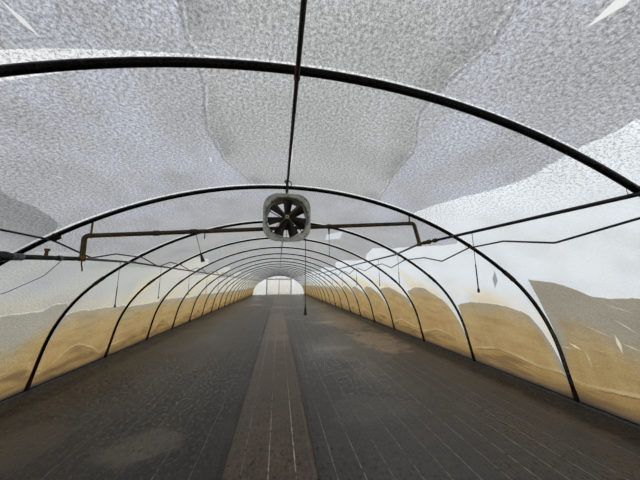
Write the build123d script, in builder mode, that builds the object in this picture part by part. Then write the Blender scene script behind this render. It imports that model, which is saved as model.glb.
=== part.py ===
from build123d import *
from math import cos, degrees, pi, radians, sin, sqrt, tan
import os

# A long polytunnel greenhouse: round steel hoops under one skin of film, a film wall with
# double doors at each end, a woven ground cover, and the pipes and the fan that hang inside.
# X runs across the tunnel, Y along it to the far doors, Z up. The origin is on the ground
# in the middle of the tunnel. All sizes are millimetres.

# Hoops
bay_length = 1800.0
bay_count = 22
ridge_height = 2828.0          # hoop centreline at the crown
roof_radius = 4790.0
roof_half_angle = 40.2         # degrees each side of the crown
haunch_radius = 2000.0
leg_lean = 12.25               # degrees from upright at the foot
hoop_tube_radius = 24.15

# Fits
seat_gap = 0.3                 # between curved faces that rest on each other
hinge_play = 1.0

# Sleeves and ground tubes
sleeve_wall = 4.0              # of the splice sleeves and the ground tubes
splice_half_length = 95.0
ground_tube_height = 170.0

# Film
film_thickness = 6.0
roof_strips = 3
haunch_strips = 2

# Ridge purlin and its saddle clamps
purlin_radius = 13.45
clamp_wall = 4.0
clamp_width = 36.0

# Battens along the foot of the film
batten_height = 45.0
batten_thickness = 20.0
batten_end_gap = 3.0

# End walls and doors
door_half_width = 1800.0
door_height = 2300.0
post_width = 80.0
post_depth = 60.0
post_cover = 30.0              # how far the end film laps onto a post
header_height = 80.0
leaf_side_gap = 12.0
leaf_centre_gap = 12.0
leaf_ground_gap = 15.0
leaf_top_gap = 8.0
leaf_tube = 40.0
hinge_heights = (400.0, 1900.0)
pin_radius = 7.0
pin_half_length = 36.0
eye_wall = 5.0
eye_half_height = 20.0
strap_length = 300.0
strap_thickness = 6.0
lug_radius = 9.0
hinge_plate_thickness = 6.0
hinge_plate_width = 42.0

# Woven ground cover
cover_thickness = 3.0
cover_side_gap = 43.0          # to the battens, past the ground tubes
cover_end_gap = 0.3
walkway_left = -530.0
walkway_right = 280.0

# Circulation fan
fan_bay_count = 2              # whole bays between the near end and the fan's hoop
fan_width = 540.0
fan_height = 560.0
fan_corner = 165.0
fan_drop = 456.0               # from the hoop's crown to the fan's centre
fan_front_gap = 260.0          # from the hoop's plane to the front of the flange
fan_flange = 22.0
duct_depth = 235.0
duct_radius = 250.0
duct_bore = 234.0
duct_lip = 12.0
flange_edge = 5.0
rotor_radius = 224.0
rotor_setback = 70.0           # from the flange's front to the middle of the blades
hub_radius = 52.0
hub_length = 64.0
blade_count = 7
blade_start = -88.0            # turn of the first blade from level, just past straight up
blade_root_chord = 92.0
blade_tip_chord = 128.0
blade_root_pitch = 48.0
blade_tip_pitch = 26.0
blade_thickness = 5.0
motor_radius = 62.0
motor_length = 104.0
motor_gap = 6.0
shaft_radius = 8.0
strut_width = 24.0
strut_thickness = 6.0
guard_rod_radius = 4.5
guard_boss_radius = 17.0
guard_boss_length = 16.0
hook_rod_radius = 4.0
hook_ring_radius = 22.0

# Water pipes
pipe_plane = 34.0              # how far the cross pipe hangs behind its hoop
cross_pipe_radius = 25.0
cross_pipe_bend = 44.0
cross_left_x = -2200.0
cross_left_below = 133.0       # below the hoop's centreline
cross_right_x = 1730.0
cross_right_below = 85.0
drop_left_x = -2190.0
drop_left_length = 235.0
drop_right_x = 1790.0
drop_right_length = 270.0
hanger_xs = (-2140.0, 1670.0)
hanger_above = 14.0            # end of a hanger over the hoop's centreline
coupling_xs = (-1480.0, -1080.0, 240.0, 545.0)
coupling_lengths = (56.0, 72.0, 16.0, 44.0)
coupling_wall = 6.0
junction_radius = 30.0
junction_half_height = 28.0
lateral_radius = 16.0
lateral_right_x = 2300.0
lateral_left_x = -2600.0
lateral_end_gap = 80.0
valve_places = (0.05, 0.085, 0.135)    # share of the way from the right junction to its tie
valve_lengths = (52.0, 30.0, 40.0)
valve_walls = (7.0, 13.0, 10.0)

# Wrapped length of the left pipe, which sags between its junction and the near hoop
wrap_radius = 48.0
wrap_bend = 400.0
wrap_low = (-150.0, -684.0, -47.0)     # from the middle of the left junction
wrap_start = 0.4               # share of the way from the junction to the low point
wrap_end = 0.75                # share of the way from the low point to the tie

# Hoses tied under every hoop, and kinked down between them
hose_radius = 10.0
hose_bend = 120.0
hose_right_x = 2500.0
hose_left_x = -2470.0
hose_end_gap = 15.0
hose_dips = ((0.36, -118.0), (0.39, -104.0), (0.33, -130.0))      # place in the bay, height
hose_humps = ((0.65, 14.0), (0.69, 4.0), (0.60, -22.0))

# Droppers under the laterals and the cross pipe
dropper_thin_radius = 3.0
dropper_radius = 6.0
dropper_thin_share = 0.55
dropper_right_length = 610.0
dropper_left_length = 640.0
dropper_right_place = 0.5      # share of the bay
dropper_left_place = 0.6
near_right_place = 0.39        # share of the way from the right junction to its near tie
far_right_place = 0.86
far_left_place = 0.65
nozzle_radius = 12.0
nozzle_length = 40.0
loose_place = 0.28             # share of the way from the left junction to the low point
loose_steps = ((-118.0, -20.0, -160.0), (-375.0, -60.0, -318.0), (-690.0, -100.0, -400.0))
loose_bend = 150.0
leaning_x = -1052.0
leaning_length = 225.0
leaning_angle = 17.0           # from upright, towards the fan
stub_x = -954.0
stub_length = 66.0
cone_x = 545.0
cone_length = 72.0
cone_top_radius = 12.0
cone_foot_radius = 6.0
cone_dropper_length = 300.0

# Hanging cord behind the fan, and the weights
cord_radius = 4.0
cord_length = 930.0
weight_top_radius = 7.0
weight_foot_radius = 23.0
weight_length = 112.0

os.makedirs("parts", exist_ok=True)

# The hoop's outline, worked out once for every piece that follows it
tunnel_half = bay_length * bay_count / 2
hoop_ys = [-tunnel_half + bay_length * i for i in range(bay_count + 1)]
roof_centre = (0.0, ridge_height - roof_radius)
haunch_start = radians(roof_half_angle)
haunch_end = radians(90 - leg_lean)
haunch_centre = (
    (roof_radius - haunch_radius) * sin(haunch_start),
    roof_centre[1] + (roof_radius - haunch_radius) * cos(haunch_start),
)
leg_top = (
    haunch_centre[0] + haunch_radius * sin(haunch_end),
    haunch_centre[1] + haunch_radius * cos(haunch_end),
)
foot_x = leg_top[0] + leg_top[1] * tan(radians(leg_lean))
leg_up = (-sin(radians(leg_lean)), 0, cos(radians(leg_lean)))
film_offset = hoop_tube_radius + sleeve_wall + 2 * seat_gap


def roof_height(x, offset=0.0):
    """Height of the roof arc, moved outwards by offset, at a place across the tunnel."""
    return roof_centre[1] + sqrt((roof_radius + offset) ** 2 - x ** 2)


def foot_at(offset):
    """Where the leg line, moved outwards by offset, meets the ground."""
    return foot_x + offset / cos(radians(leg_lean))


def save(piece, name):
    """Label a finished piece and write it to its own file."""
    piece.part.label = name
    export_step(piece.part, f"parts/{name}.step")


# Hoop legs: the bent lower length of each hoop, from the ground to the splice
with BuildPart() as one_leg:
    with BuildLine(Plane.XZ) as leg_line:
        CenterArc(haunch_centre, haunch_radius, leg_lean, 90 - roof_half_angle - leg_lean)
        Line(leg_top, (foot_x + 40 * tan(radians(leg_lean)), -40))
    leg_start = (leg_line.line @ 0, leg_line.line % 0)
    with BuildSketch(Plane(leg_start[0], z_dir=leg_start[1])):
        Circle(hoop_tube_radius)
    sweep(path=leg_line.line)
    split(bisect_by=Plane.XY, keep=Keep.TOP)
    mirror(about=Plane.YZ)

with BuildPart() as hoop_legs:
    with Locations(*[(0, y, 0) for y in hoop_ys]):
        add(one_leg.part)
save(hoop_legs, "hoop_legs")

# Roof bows: the upper length of each hoop, one arc over the tunnel
with BuildPart() as one_bow:
    with BuildLine(Plane.XZ) as bow_line:
        CenterArc(roof_centre, roof_radius, 90 - roof_half_angle, 2 * roof_half_angle)
    bow_start = (bow_line.line @ 0, bow_line.line % 0)
    with BuildSketch(Plane(bow_start[0], z_dir=bow_start[1])):
        Circle(hoop_tube_radius)
    sweep(path=bow_line.line)

with BuildPart() as roof_bows:
    with Locations(*[(0, y, 0) for y in hoop_ys]):
        add(one_bow.part)
save(roof_bows, "roof_bows")

# Splice sleeves: a short tube over each joint between leg and bow
splice_roof = degrees(splice_half_length / roof_radius)
splice_haunch = degrees(splice_half_length / haunch_radius)
with BuildPart() as one_splice:
    with BuildLine(Plane.XZ) as splice_line:
        CenterArc(haunch_centre, haunch_radius, 90 - roof_half_angle - splice_haunch, splice_haunch)
        CenterArc(roof_centre, roof_radius, 90 - roof_half_angle, splice_roof)
    splice_start = (splice_line.line @ 0, splice_line.line % 0)
    with BuildSketch(Plane(splice_start[0], z_dir=splice_start[1])):
        Circle(hoop_tube_radius + seat_gap + sleeve_wall)
    sweep(path=splice_line.line)
    with BuildSketch(Plane(splice_start[0], z_dir=splice_start[1])):
        Circle(hoop_tube_radius + seat_gap)
    sweep(path=splice_line.line, mode=Mode.SUBTRACT)
    mirror(about=Plane.YZ)

with BuildPart() as splice_sleeves:
    with Locations(*[(0, y, 0) for y in hoop_ys]):
        add(one_splice.part)
save(splice_sleeves, "splice_sleeves")

# Ground tubes: driven into the ground, each takes the foot of one leg
with BuildPart() as one_ground_tube:
    with BuildSketch(Plane((foot_x, 0, 0), z_dir=leg_up)):
        Circle(hoop_tube_radius + seat_gap + sleeve_wall)
        Circle(hoop_tube_radius + seat_gap, mode=Mode.SUBTRACT)
    extrude(amount=ground_tube_height, both=True)
    split(bisect_by=Plane.XY, keep=Keep.TOP)
    mirror(about=Plane.YZ)

with BuildPart() as ground_tubes:
    with Locations(*[(0, y, 0) for y in hoop_ys]):
        add(one_ground_tube.part)
save(ground_tubes, "ground_tubes")

# Ridge purlin: a thin tube under the crown of every hoop
purlin_z = ridge_height - hoop_tube_radius - clamp_wall - 2 * seat_gap - purlin_radius
with BuildPart() as ridge_purlin:
    with BuildSketch(Plane.XZ.offset(tunnel_half + hoop_tube_radius)):
        with Locations((0, purlin_z)):
            Circle(purlin_radius)
    extrude(amount=-2 * (tunnel_half + hoop_tube_radius))
save(ridge_purlin, "ridge_purlin")

# Saddle clamps: a ring round the purlin under a half ring that holds the hoop
saddle_outer = hoop_tube_radius + seat_gap + clamp_wall
with BuildPart() as one_clamp:
    with BuildSketch(Plane.XZ.offset(clamp_width / 2)):
        with Locations((0, purlin_z)):
            Circle(purlin_radius + seat_gap + clamp_wall)
    extrude(amount=-clamp_width)
    with BuildSketch(Plane.YZ.offset(-clamp_width / 2)):
        with Locations((0, ridge_height)):
            Circle(saddle_outer)
            with Locations((0, saddle_outer / 2)):
                Rectangle(2 * saddle_outer, saddle_outer, mode=Mode.SUBTRACT)
    extrude(amount=clamp_width)
    with BuildSketch(Plane.XZ.offset(clamp_width)):
        with Locations((0, purlin_z)):
            Circle(purlin_radius + seat_gap)
    extrude(amount=-2 * clamp_width, mode=Mode.SUBTRACT)
    with BuildSketch(Plane.YZ.offset(-clamp_width)):
        with Locations((0, ridge_height)):
            Circle(hoop_tube_radius + seat_gap)
    extrude(amount=2 * clamp_width, mode=Mode.SUBTRACT)

with BuildPart() as purlin_clamps:
    with Locations(*[(0, y, 0) for y in hoop_ys]):
        add(one_clamp.part)
save(purlin_clamps, "purlin_clamps")

# Battens: laid between the ground tubes, they hold the foot of the film
batten_length = bay_length - 2 * (hoop_tube_radius + seat_gap + sleeve_wall + batten_end_gap)
batten_outer_x = foot_at(film_offset) - batten_height * tan(radians(leg_lean)) - seat_gap
batten_inner_x = batten_outer_x - batten_thickness
with BuildPart() as battens:
    with Locations(*[
        (side * (batten_outer_x - batten_thickness / 2), y + bay_length / 2, batten_height / 2)
        for y in hoop_ys[:-1] for side in (-1, 1)
    ]):
        Box(batten_thickness, batten_length, batten_height)
save(battens, "battens")

# Film over the hoops: one sheet on the real tunnel, here in lengthwise strips that meet
end_face = tunnel_half + film_offset
cover_half_length = end_face + film_thickness


def film_strip(centre, inner_radius, start, end, side):
    """One lengthwise strip of film between two angles, in degrees from upright."""
    with BuildPart() as strip:
        with BuildSketch(Plane.XZ.offset(cover_half_length)):
            with BuildLine():
                low = CenterArc(centre, inner_radius, 90 - end, end - start)
                high = CenterArc(centre, inner_radius + film_thickness, 90 - end, end - start)
                Line(low @ 0, high @ 0)
                Line(low @ 1, high @ 1)
            make_face()
        extrude(amount=-2 * cover_half_length)
        if side < 0:
            mirror(about=Plane.YZ, mode=Mode.REPLACE)
    return strip


strip_count = 1 + haunch_strips + roof_strips
for side, side_name in ((-1, "left"), (1, "right")):
    roof_step = roof_half_angle / roof_strips
    for i in range(roof_strips):
        strip = film_strip(
            roof_centre, roof_radius + film_offset, i * roof_step, (i + 1) * roof_step, side)
        save(strip, f"film_{side_name}_{strip_count - i}")
    haunch_step = (90 - leg_lean - roof_half_angle) / haunch_strips
    for i in range(haunch_strips):
        start = roof_half_angle + i * haunch_step
        strip = film_strip(
            haunch_centre, haunch_radius + film_offset, start, start + haunch_step, side)
        save(strip, f"film_{side_name}_{strip_count - roof_strips - i}")
    with BuildPart() as skirt:
        with BuildSketch(Plane.XZ.offset(cover_half_length)):
            with BuildLine():
                Polyline(
                    (foot_at(film_offset), 0),
                    (foot_at(film_offset + film_thickness), 0),
                    (leg_top[0] + (film_offset + film_thickness) * cos(radians(leg_lean)),
                     leg_top[1] + (film_offset + film_thickness) * sin(radians(leg_lean))),
                    (leg_top[0] + film_offset * cos(radians(leg_lean)),
                     leg_top[1] + film_offset * sin(radians(leg_lean))),
                    close=True,
                )
            make_face()
        extrude(amount=-2 * cover_half_length)
        if side < 0:
            mirror(about=Plane.YZ, mode=Mode.REPLACE)
    save(skirt, f"film_{side_name}_1")

# End walls: film across each end, cut round the doorway
end_panel_edge = door_half_width + post_width - post_cover
wall_edge = film_offset - seat_gap


def end_wall(low_x, high_x, low_z):
    """The part of both end walls between two places across the tunnel, from low_z up."""
    with BuildPart() as wall:
        with BuildSketch(Plane.XZ.offset(-end_face)):
            with BuildLine():
                CenterArc(
                    roof_centre, roof_radius + wall_edge,
                    90 - roof_half_angle, 2 * roof_half_angle)
                right = CenterArc(
                    haunch_centre, haunch_radius + wall_edge,
                    leg_lean, 90 - roof_half_angle - leg_lean)
                left = CenterArc(
                    (-haunch_centre[0], haunch_centre[1]), haunch_radius + wall_edge,
                    90 + roof_half_angle, 90 - roof_half_angle - leg_lean)
                Line(right @ 0, (foot_at(wall_edge), 0))
                Line((foot_at(wall_edge), 0), (-foot_at(wall_edge), 0))
                Line((-foot_at(wall_edge), 0), left @ 1)
            make_face()
            with Locations(((low_x + high_x) / 2, low_z + ridge_height / 2)):
                Rectangle(high_x - low_x, ridge_height, mode=Mode.INTERSECT)
        extrude(amount=-film_thickness)
        mirror(about=Plane.XZ)
    return wall


panel_reach = foot_x + bay_length
save(end_wall(end_panel_edge, panel_reach, 0), "end_film_right")
save(end_wall(-panel_reach, -end_panel_edge, 0), "end_film_left")
save(end_wall(-end_panel_edge, end_panel_edge, door_height + post_cover / 3), "end_film_top")

# Door posts and headers, under the end hoops
with BuildPart() as door_posts:
    with BuildSketch(Plane.XZ.offset(-(end_face - post_depth))):
        with Locations((door_half_width + post_width / 2, ridge_height / 2)):
            Rectangle(post_width, ridge_height)
        with Locations(roof_centre):
            Circle(roof_radius - hoop_tube_radius - seat_gap, mode=Mode.INTERSECT)
    extrude(amount=-post_depth)
    for height in hinge_heights:
        pin_x = door_half_width - leaf_side_gap / 2
        pin_y = end_face + film_thickness + strap_thickness * 2
        plate_x = door_half_width + hinge_plate_width / 2
        with Locations((plate_x, end_face + hinge_plate_thickness / 2, height)):
            Box(hinge_plate_width, hinge_plate_thickness, 2 * pin_half_length)
        with Locations((pin_x, pin_y, height)):
            Cylinder(pin_radius, 2 * pin_half_length)
        lug_height = pin_half_length - eye_half_height - hinge_play
        for way in (-1, 1):
            lug_z = height + way * (pin_half_length - lug_height / 2)
            with Locations((pin_x, pin_y, lug_z)):
                Cylinder(lug_radius, lug_height)
            lug_reach = door_half_width + hinge_plate_width / 2 - pin_x
            with Locations((pin_x + lug_reach / 2, (end_face + pin_y) / 2 + lug_radius / 4, lug_z)):
                Box(lug_reach, pin_y - end_face - lug_radius / 2, lug_height)
    mirror(about=Plane.YZ)
    mirror(about=Plane.XZ)
save(door_posts, "door_posts")

with BuildPart() as door_headers:
    with BuildSketch(Plane.XZ.offset(-(end_face - post_depth))):
        with Locations((0, door_height + header_height / 2)):
            Rectangle(2 * door_half_width, header_height)
    extrude(amount=-post_depth)
    mirror(about=Plane.XZ)
save(door_headers, "door_headers")

# Door leaves: a welded frame with hinge straps, and film on its outer face
leaf_outer_x = door_half_width - leaf_side_gap
leaf_inner_x = leaf_centre_gap / 2
leaf_top_z = door_height - leaf_top_gap
leaf_width = leaf_outer_x - leaf_inner_x
leaf_height = leaf_top_z - leaf_ground_gap
leaf_middle = ((leaf_outer_x + leaf_inner_x) / 2, (leaf_top_z + leaf_ground_gap) / 2)
with BuildPart() as leaf_frame:
    with BuildSketch(Plane.XZ.offset(-(end_face - leaf_tube))):
        with Locations(leaf_middle):
            Rectangle(leaf_width, leaf_height)
            Rectangle(leaf_width - 2 * leaf_tube, leaf_height - 2 * leaf_tube, mode=Mode.SUBTRACT)
    extrude(amount=-leaf_tube)

with BuildPart() as leaf_film:
    with BuildSketch(Plane.XZ.offset(-end_face)):
        with Locations(leaf_middle):
            Rectangle(leaf_width, leaf_height)
    extrude(amount=-film_thickness)

with BuildPart() as leaf_straps:
    for height in hinge_heights:
        eye_radius = pin_radius + hinge_play + eye_wall
        with Locations((pin_x - strap_length / 2, end_face + film_thickness + strap_thickness / 2, height)):
            Box(strap_length, strap_thickness, 2 * eye_half_height)
        with Locations((pin_x, pin_y, height)):
            Cylinder(eye_radius, 2 * eye_half_height)
            Cylinder(pin_radius + hinge_play, 2 * eye_half_height, mode=Mode.SUBTRACT)

for side, side_name in ((-1, "left"), (1, "right")):
    for piece, piece_name in ((leaf_frame, "frame"), (leaf_film, "film"), (leaf_straps, "straps")):
        with BuildPart() as far_piece:
            add(piece.part)
            if side < 0:
                mirror(about=Plane.YZ, mode=Mode.REPLACE)
        save(far_piece, f"far_door_{side_name}_{piece_name}")

for piece, piece_name in ((leaf_frame, "frames"), (leaf_film, "films"), (leaf_straps, "straps")):
    with BuildPart() as near_pieces:
        add(piece.part)
        mirror(about=Plane.XZ, mode=Mode.REPLACE)
        mirror(about=Plane.YZ)
    save(near_pieces, f"near_door_{piece_name}")

# Woven ground cover: two wide strips and a walkway strip between them
cover_ends = end_face - post_depth - cover_end_gap
cover_half_width = batten_inner_x - cover_side_gap
for low_x, high_x, name in (
    (-cover_half_width, walkway_left, "ground_cover_left"),
    (walkway_left, walkway_right, "ground_cover_walkway"),
    (walkway_right, cover_half_width, "ground_cover_right"),
):
    with BuildPart() as ground_cover:
        with Locations(((low_x + high_x) / 2, 0, cover_thickness / 2)):
            Box(high_x - low_x, 2 * cover_ends, cover_thickness)
    save(ground_cover, name)

# Fan: a moulded housing with a round duct, hung from the purlin
fan_y = hoop_ys[fan_bay_count] - fan_front_gap
fan_centre_z = ridge_height - fan_drop
fan_front = Plane((0, fan_y, fan_centre_z), x_dir=(1, 0, 0), z_dir=(0, 1, 0))
with BuildPart() as fan_housing:
    with BuildSketch(fan_front):
        RectangleRounded(fan_width, fan_height, fan_corner)
    extrude(amount=fan_flange)
    with BuildSketch(fan_front):
        Circle(duct_radius)
    extrude(amount=duct_depth)
    with BuildSketch(fan_front):
        Circle(duct_bore)
    extrude(amount=duct_depth, mode=Mode.SUBTRACT)
    front_edges = fan_housing.edges().group_by(Axis.Y)[0]
    bore_edge = front_edges.filter_by(lambda edge: abs(edge.length - 2 * pi * duct_bore) < 1)
    fillet(bore_edge, duct_lip)
    fillet(front_edges.filter_by(lambda edge: edge.length < pi * duct_bore), flange_edge)
save(fan_housing, "fan_housing")


def blade_section(radius, chord, pitch):
    """A curved blade section on a plane that faces outwards from the shaft."""
    return Plane((radius, 0, 0), x_dir=(0, -sin(radians(pitch)), cos(radians(pitch))), z_dir=(1, 0, 0))


# Fan rotor: a hub with seven twisted blades
with BuildPart() as one_blade:
    for radius, chord, pitch in (
        (hub_radius * 0.8, blade_root_chord, blade_root_pitch),
        ((hub_radius + rotor_radius) / 2, (blade_root_chord + blade_tip_chord) / 2,
         (blade_root_pitch + blade_tip_pitch) / 2),
        (rotor_radius, blade_tip_chord, blade_tip_pitch),
    ):
        with BuildSketch(blade_section(radius, chord, pitch)):
            with BuildLine():
                under = ThreePointArc((-chord / 2, 0), (0, chord * 0.09), (chord / 2, 0))
                upper = ThreePointArc(
                    (-chord / 2, blade_thickness), (0, chord * 0.09 + blade_thickness),
                    (chord / 2, blade_thickness))
                Line(under @ 0, upper @ 0)
                Line(under @ 1, upper @ 1)
            make_face()
    loft()
    with BuildSketch(Plane.XZ.offset(chord)):
        Circle(rotor_radius)
    extrude(amount=-2 * chord, mode=Mode.INTERSECT)

with BuildPart() as rotor_at_origin:
    with BuildSketch(Plane.XZ.offset(hub_length / 2)):
        Circle(hub_radius)
    extrude(amount=-hub_length)
    for i in range(blade_count):
        add(one_blade.part.rotate(Axis.Y, blade_start + i * 360 / blade_count))
    with BuildSketch(Plane.XZ.offset(-hub_length / 2)):
        Circle(shaft_radius + seat_gap)
    extrude(amount=hub_length * 0.75, mode=Mode.SUBTRACT)

rotor_y = fan_y + rotor_setback
with BuildPart() as fan_rotor:
    with Locations((0, rotor_y, fan_centre_z)):
        add(rotor_at_origin.part)
save(fan_rotor, "fan_rotor")

# Fan motor: behind the rotor on three struts, with the shaft that carries the hub
motor_y = rotor_y + hub_length / 2 + motor_gap
motor_plane = Plane((0, motor_y, fan_centre_z), x_dir=(1, 0, 0), z_dir=(0, 1, 0))
with BuildPart() as fan_motor:
    with BuildSketch(motor_plane):
        Circle(motor_radius)
    extrude(amount=motor_length)
    with BuildSketch(motor_plane):
        Circle(shaft_radius)
    extrude(amount=-(motor_gap + hub_length * 0.75 - hinge_play * 2))
    with BuildSketch(motor_plane.offset(motor_length - strut_width - motor_gap)):
        with PolarLocations((motor_radius + duct_bore) / 2 - hinge_play, 3, start_angle=90):
            Rectangle(duct_bore - motor_radius + hinge_play, strut_thickness)
    extrude(amount=strut_width)
save(fan_motor, "fan_motor")

# Fan guard: four thin rods from the flange to a boss in front of the hub
guard_reach = duct_bore + 20
with BuildPart() as fan_guard:
    with BuildSketch(fan_front.offset(-guard_boss_length)):
        Circle(guard_boss_radius)
    extrude(amount=guard_boss_length)
    for angle in (45, 135):
        rod_way = (cos(radians(angle)), 0, sin(radians(angle)))
        rod_plane = Plane((0, fan_y - guard_rod_radius - seat_gap, fan_centre_z), z_dir=rod_way)
        with BuildSketch(rod_plane):
            Circle(guard_rod_radius)
        extrude(amount=guard_reach, both=True)
save(fan_guard, "fan_guard")

# Fan hook: a ring over the purlin and a stem down to the housing
hook_y = fan_y + duct_depth / 2
hook_drop = hook_ring_radius - hook_rod_radius - purlin_radius - seat_gap
hook_centre_z = purlin_z - hook_drop
with BuildPart() as fan_hook:
    with Locations(Location((0, hook_y, hook_centre_z), (90, 0, 0))):
        Torus(hook_ring_radius, hook_rod_radius)
    stem_top = hook_centre_z - hook_ring_radius
    stem_foot = fan_centre_z + duct_radius + seat_gap
    with Locations((0, hook_y, (stem_top + stem_foot) / 2)):
        Cylinder(hook_rod_radius, stem_top - stem_foot)
save(fan_hook, "fan_hook")

# Cross pipe: hung behind the fan's hoop, it feeds the two lateral pipes
cross_y = hoop_ys[fan_bay_count] + pipe_plane
cross_left = (cross_left_x, roof_height(cross_left_x) - cross_left_below)
cross_right = (cross_right_x, roof_height(cross_right_x) - cross_right_below)
drop_left = (drop_left_x, cross_left[1] - drop_left_length)
drop_right = (drop_right_x, cross_right[1] - drop_right_length)
with BuildPart() as cross_pipe:
    with BuildLine(Plane.XZ.offset(-cross_y)) as cross_line:
        FilletPolyline(drop_left, cross_left, cross_right, drop_right, radius=cross_pipe_bend)
    cross_start = (cross_line.line @ 0, cross_line.line % 0)
    with BuildSketch(Plane(cross_start[0], z_dir=cross_start[1])):
        Circle(cross_pipe_radius)
    sweep(path=cross_line.line)
    for x, z in (drop_left, drop_right):
        with Locations((x, cross_y, z)):
            Box(2 * junction_radius, 2 * junction_radius, cross_pipe_radius, mode=Mode.SUBTRACT)
save(cross_pipe, "cross_pipe")

# Pipe junctions: a short upright barrel at the foot of each drop
hub_below = junction_half_height + seat_gap - cross_pipe_radius / 2
hub_left = Vector(drop_left_x, cross_y, drop_left[1] - hub_below)
hub_right = Vector(drop_right_x, cross_y, drop_right[1] - hub_below)
with BuildPart() as pipe_junctions:
    with Locations(hub_left, hub_right):
        Cylinder(junction_radius, 2 * junction_half_height)
save(pipe_junctions, "pipe_junctions")

# Pipe hangers: upright stubs from the cross pipe to the back of the hoop
cross_start_point = Vector(cross_left[0], cross_y, cross_left[1])
cross_way = (Vector(cross_right[0], cross_y, cross_right[1]) - cross_start_point).normalized()
hanger_radius = pipe_plane - hoop_tube_radius - seat_gap


def cross_point(x):
    """The point on the cross pipe's centreline at a place across the tunnel."""
    return cross_start_point + cross_way * ((x - cross_left[0]) / cross_way.X)


with BuildPart() as pipe_hangers:
    for x in hanger_xs:
        hanger_foot = cross_point(x).Z + cross_pipe_radius + 3 * seat_gap
        hanger_top = roof_height(x) + hanger_above
        with Locations((x, cross_y, (hanger_foot + hanger_top) / 2)):
            Cylinder(hanger_radius, hanger_top - hanger_foot)
save(pipe_hangers, "pipe_hangers")

# Lateral pipes: under the hoops on each side, drawn in to the foot of each drop
lateral_clear = hoop_tube_radius + lateral_radius + 2 * seat_gap


def under_roof(x, clear):
    """Centre height of a pipe tied under the roof arc at a place across the tunnel."""
    return roof_height(x) - clear / sqrt(1 - (x / roof_radius) ** 2)


def tie_point(x, way):
    """Where a lateral is tied to the hoop before or after the fan's."""
    return Vector(x, hoop_ys[fan_bay_count + way], under_roof(x, lateral_clear))


def clear_of(hub, target, radius):
    """The first point towards target at which a pipe's flat end stands clear of a junction."""
    run = target - hub
    rise = abs(run.Z) / run.length
    return hub + run.normalized() * (junction_radius + seat_gap + radius * rise)


def pipe_along(radius, bend, *points):
    """A round pipe along straight runs, with one bend radius at the corners."""
    with BuildPart() as pipe:
        with BuildLine() as route:
            FilletPolyline(*points, radius=bend)
        with BuildSketch(Plane(route.line @ 0, z_dir=route.line % 0)):
            Circle(radius)
        sweep(path=route.line)
    return pipe


def lateral_from(start, x, way):
    """A lateral from a point by its junction to the next hoop and on to one end."""
    tie = tie_point(x, way)
    return pipe_along(
        lateral_radius, bay_length / 4,
        start, tie, Vector(x, (tunnel_half - lateral_end_gap) * way, tie.Z))


wrap_corner = hub_left + Vector(*wrap_low)
wrap_tie = tie_point(lateral_left_x, -1)
wrap_from = hub_left + (wrap_corner - hub_left) * wrap_start
wrap_to = wrap_corner + (wrap_tie - wrap_corner) * wrap_end
with BuildPart() as lateral_pipes:
    feed_start = clear_of(hub_left, wrap_corner, lateral_radius)
    feed_way = (wrap_from - feed_start).normalized()
    with BuildSketch(Plane(feed_start, z_dir=feed_way)):
        Circle(lateral_radius)
    extrude(amount=(wrap_from - feed_start).length - seat_gap)
    wrap_way = (wrap_tie - wrap_to).normalized()
    add(lateral_from(wrap_to + wrap_way * seat_gap, lateral_left_x, -1).part)
    for hub, x, way in (
        (hub_left, lateral_left_x, 1), (hub_right, lateral_right_x, -1), (hub_right, lateral_right_x, 1),
    ):
        add(lateral_from(clear_of(hub, tie_point(x, way), lateral_radius), x, way).part)
save(lateral_pipes, "lateral_pipes")

# Wrapped pipe: the lagged length of the near left lateral
save(pipe_along(wrap_radius, wrap_bend, wrap_from, wrap_corner, wrap_to), "wrapped_pipe")

# Pipe fittings: couplings on the cross pipe, and the valve and unions on the near right lateral
valve_run = tie_point(lateral_right_x, -1) - hub_right
with BuildPart() as pipe_fittings:
    for x, length in zip(coupling_xs, coupling_lengths):
        with BuildSketch(Plane(cross_point(x) - cross_way * (length / 2), z_dir=cross_way)):
            Circle(cross_pipe_radius + seat_gap + coupling_wall)
            Circle(cross_pipe_radius + seat_gap, mode=Mode.SUBTRACT)
        extrude(amount=length)
    for place, length, wall in zip(valve_places, valve_lengths, valve_walls):
        valve_start = hub_right + valve_run * place - valve_run.normalized() * (length / 2)
        with BuildSketch(Plane(valve_start, z_dir=valve_run.normalized())):
            Circle(lateral_radius + seat_gap + wall)
            Circle(lateral_radius + seat_gap, mode=Mode.SUBTRACT)
        extrude(amount=length)
save(pipe_fittings, "pipe_fittings")

# Side hoses: tied under every hoop, each kinks down and up again in every bay
hose_end_y = end_face - hose_end_gap


def side_hose(x):
    """A hose along the whole tunnel, at one place across it."""
    hose_z = under_roof(x, hoop_tube_radius + hose_radius + 3 * seat_gap)
    hose_points = [(x, -hose_end_y, hose_z)]
    for i, y in enumerate(hoop_ys[:-1]):
        dip_place, dip = hose_dips[i % len(hose_dips)]
        hump_place, hump = hose_humps[i % len(hose_humps)]
        if i > 0:
            hose_points.append((x, y, hose_z))
        hose_points.append((x, y + dip_place * bay_length, hose_z + dip))
        hose_points.append((x, y + hump_place * bay_length, hose_z + hump))
    hose_points.append((x, hose_end_y, hose_z))
    return pipe_along(hose_radius, hose_bend, *hose_points)


with BuildPart() as side_hoses:
    for x in (hose_left_x, hose_right_x):
        add(side_hose(x).part)
save(side_hoses, "side_hoses")

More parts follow.
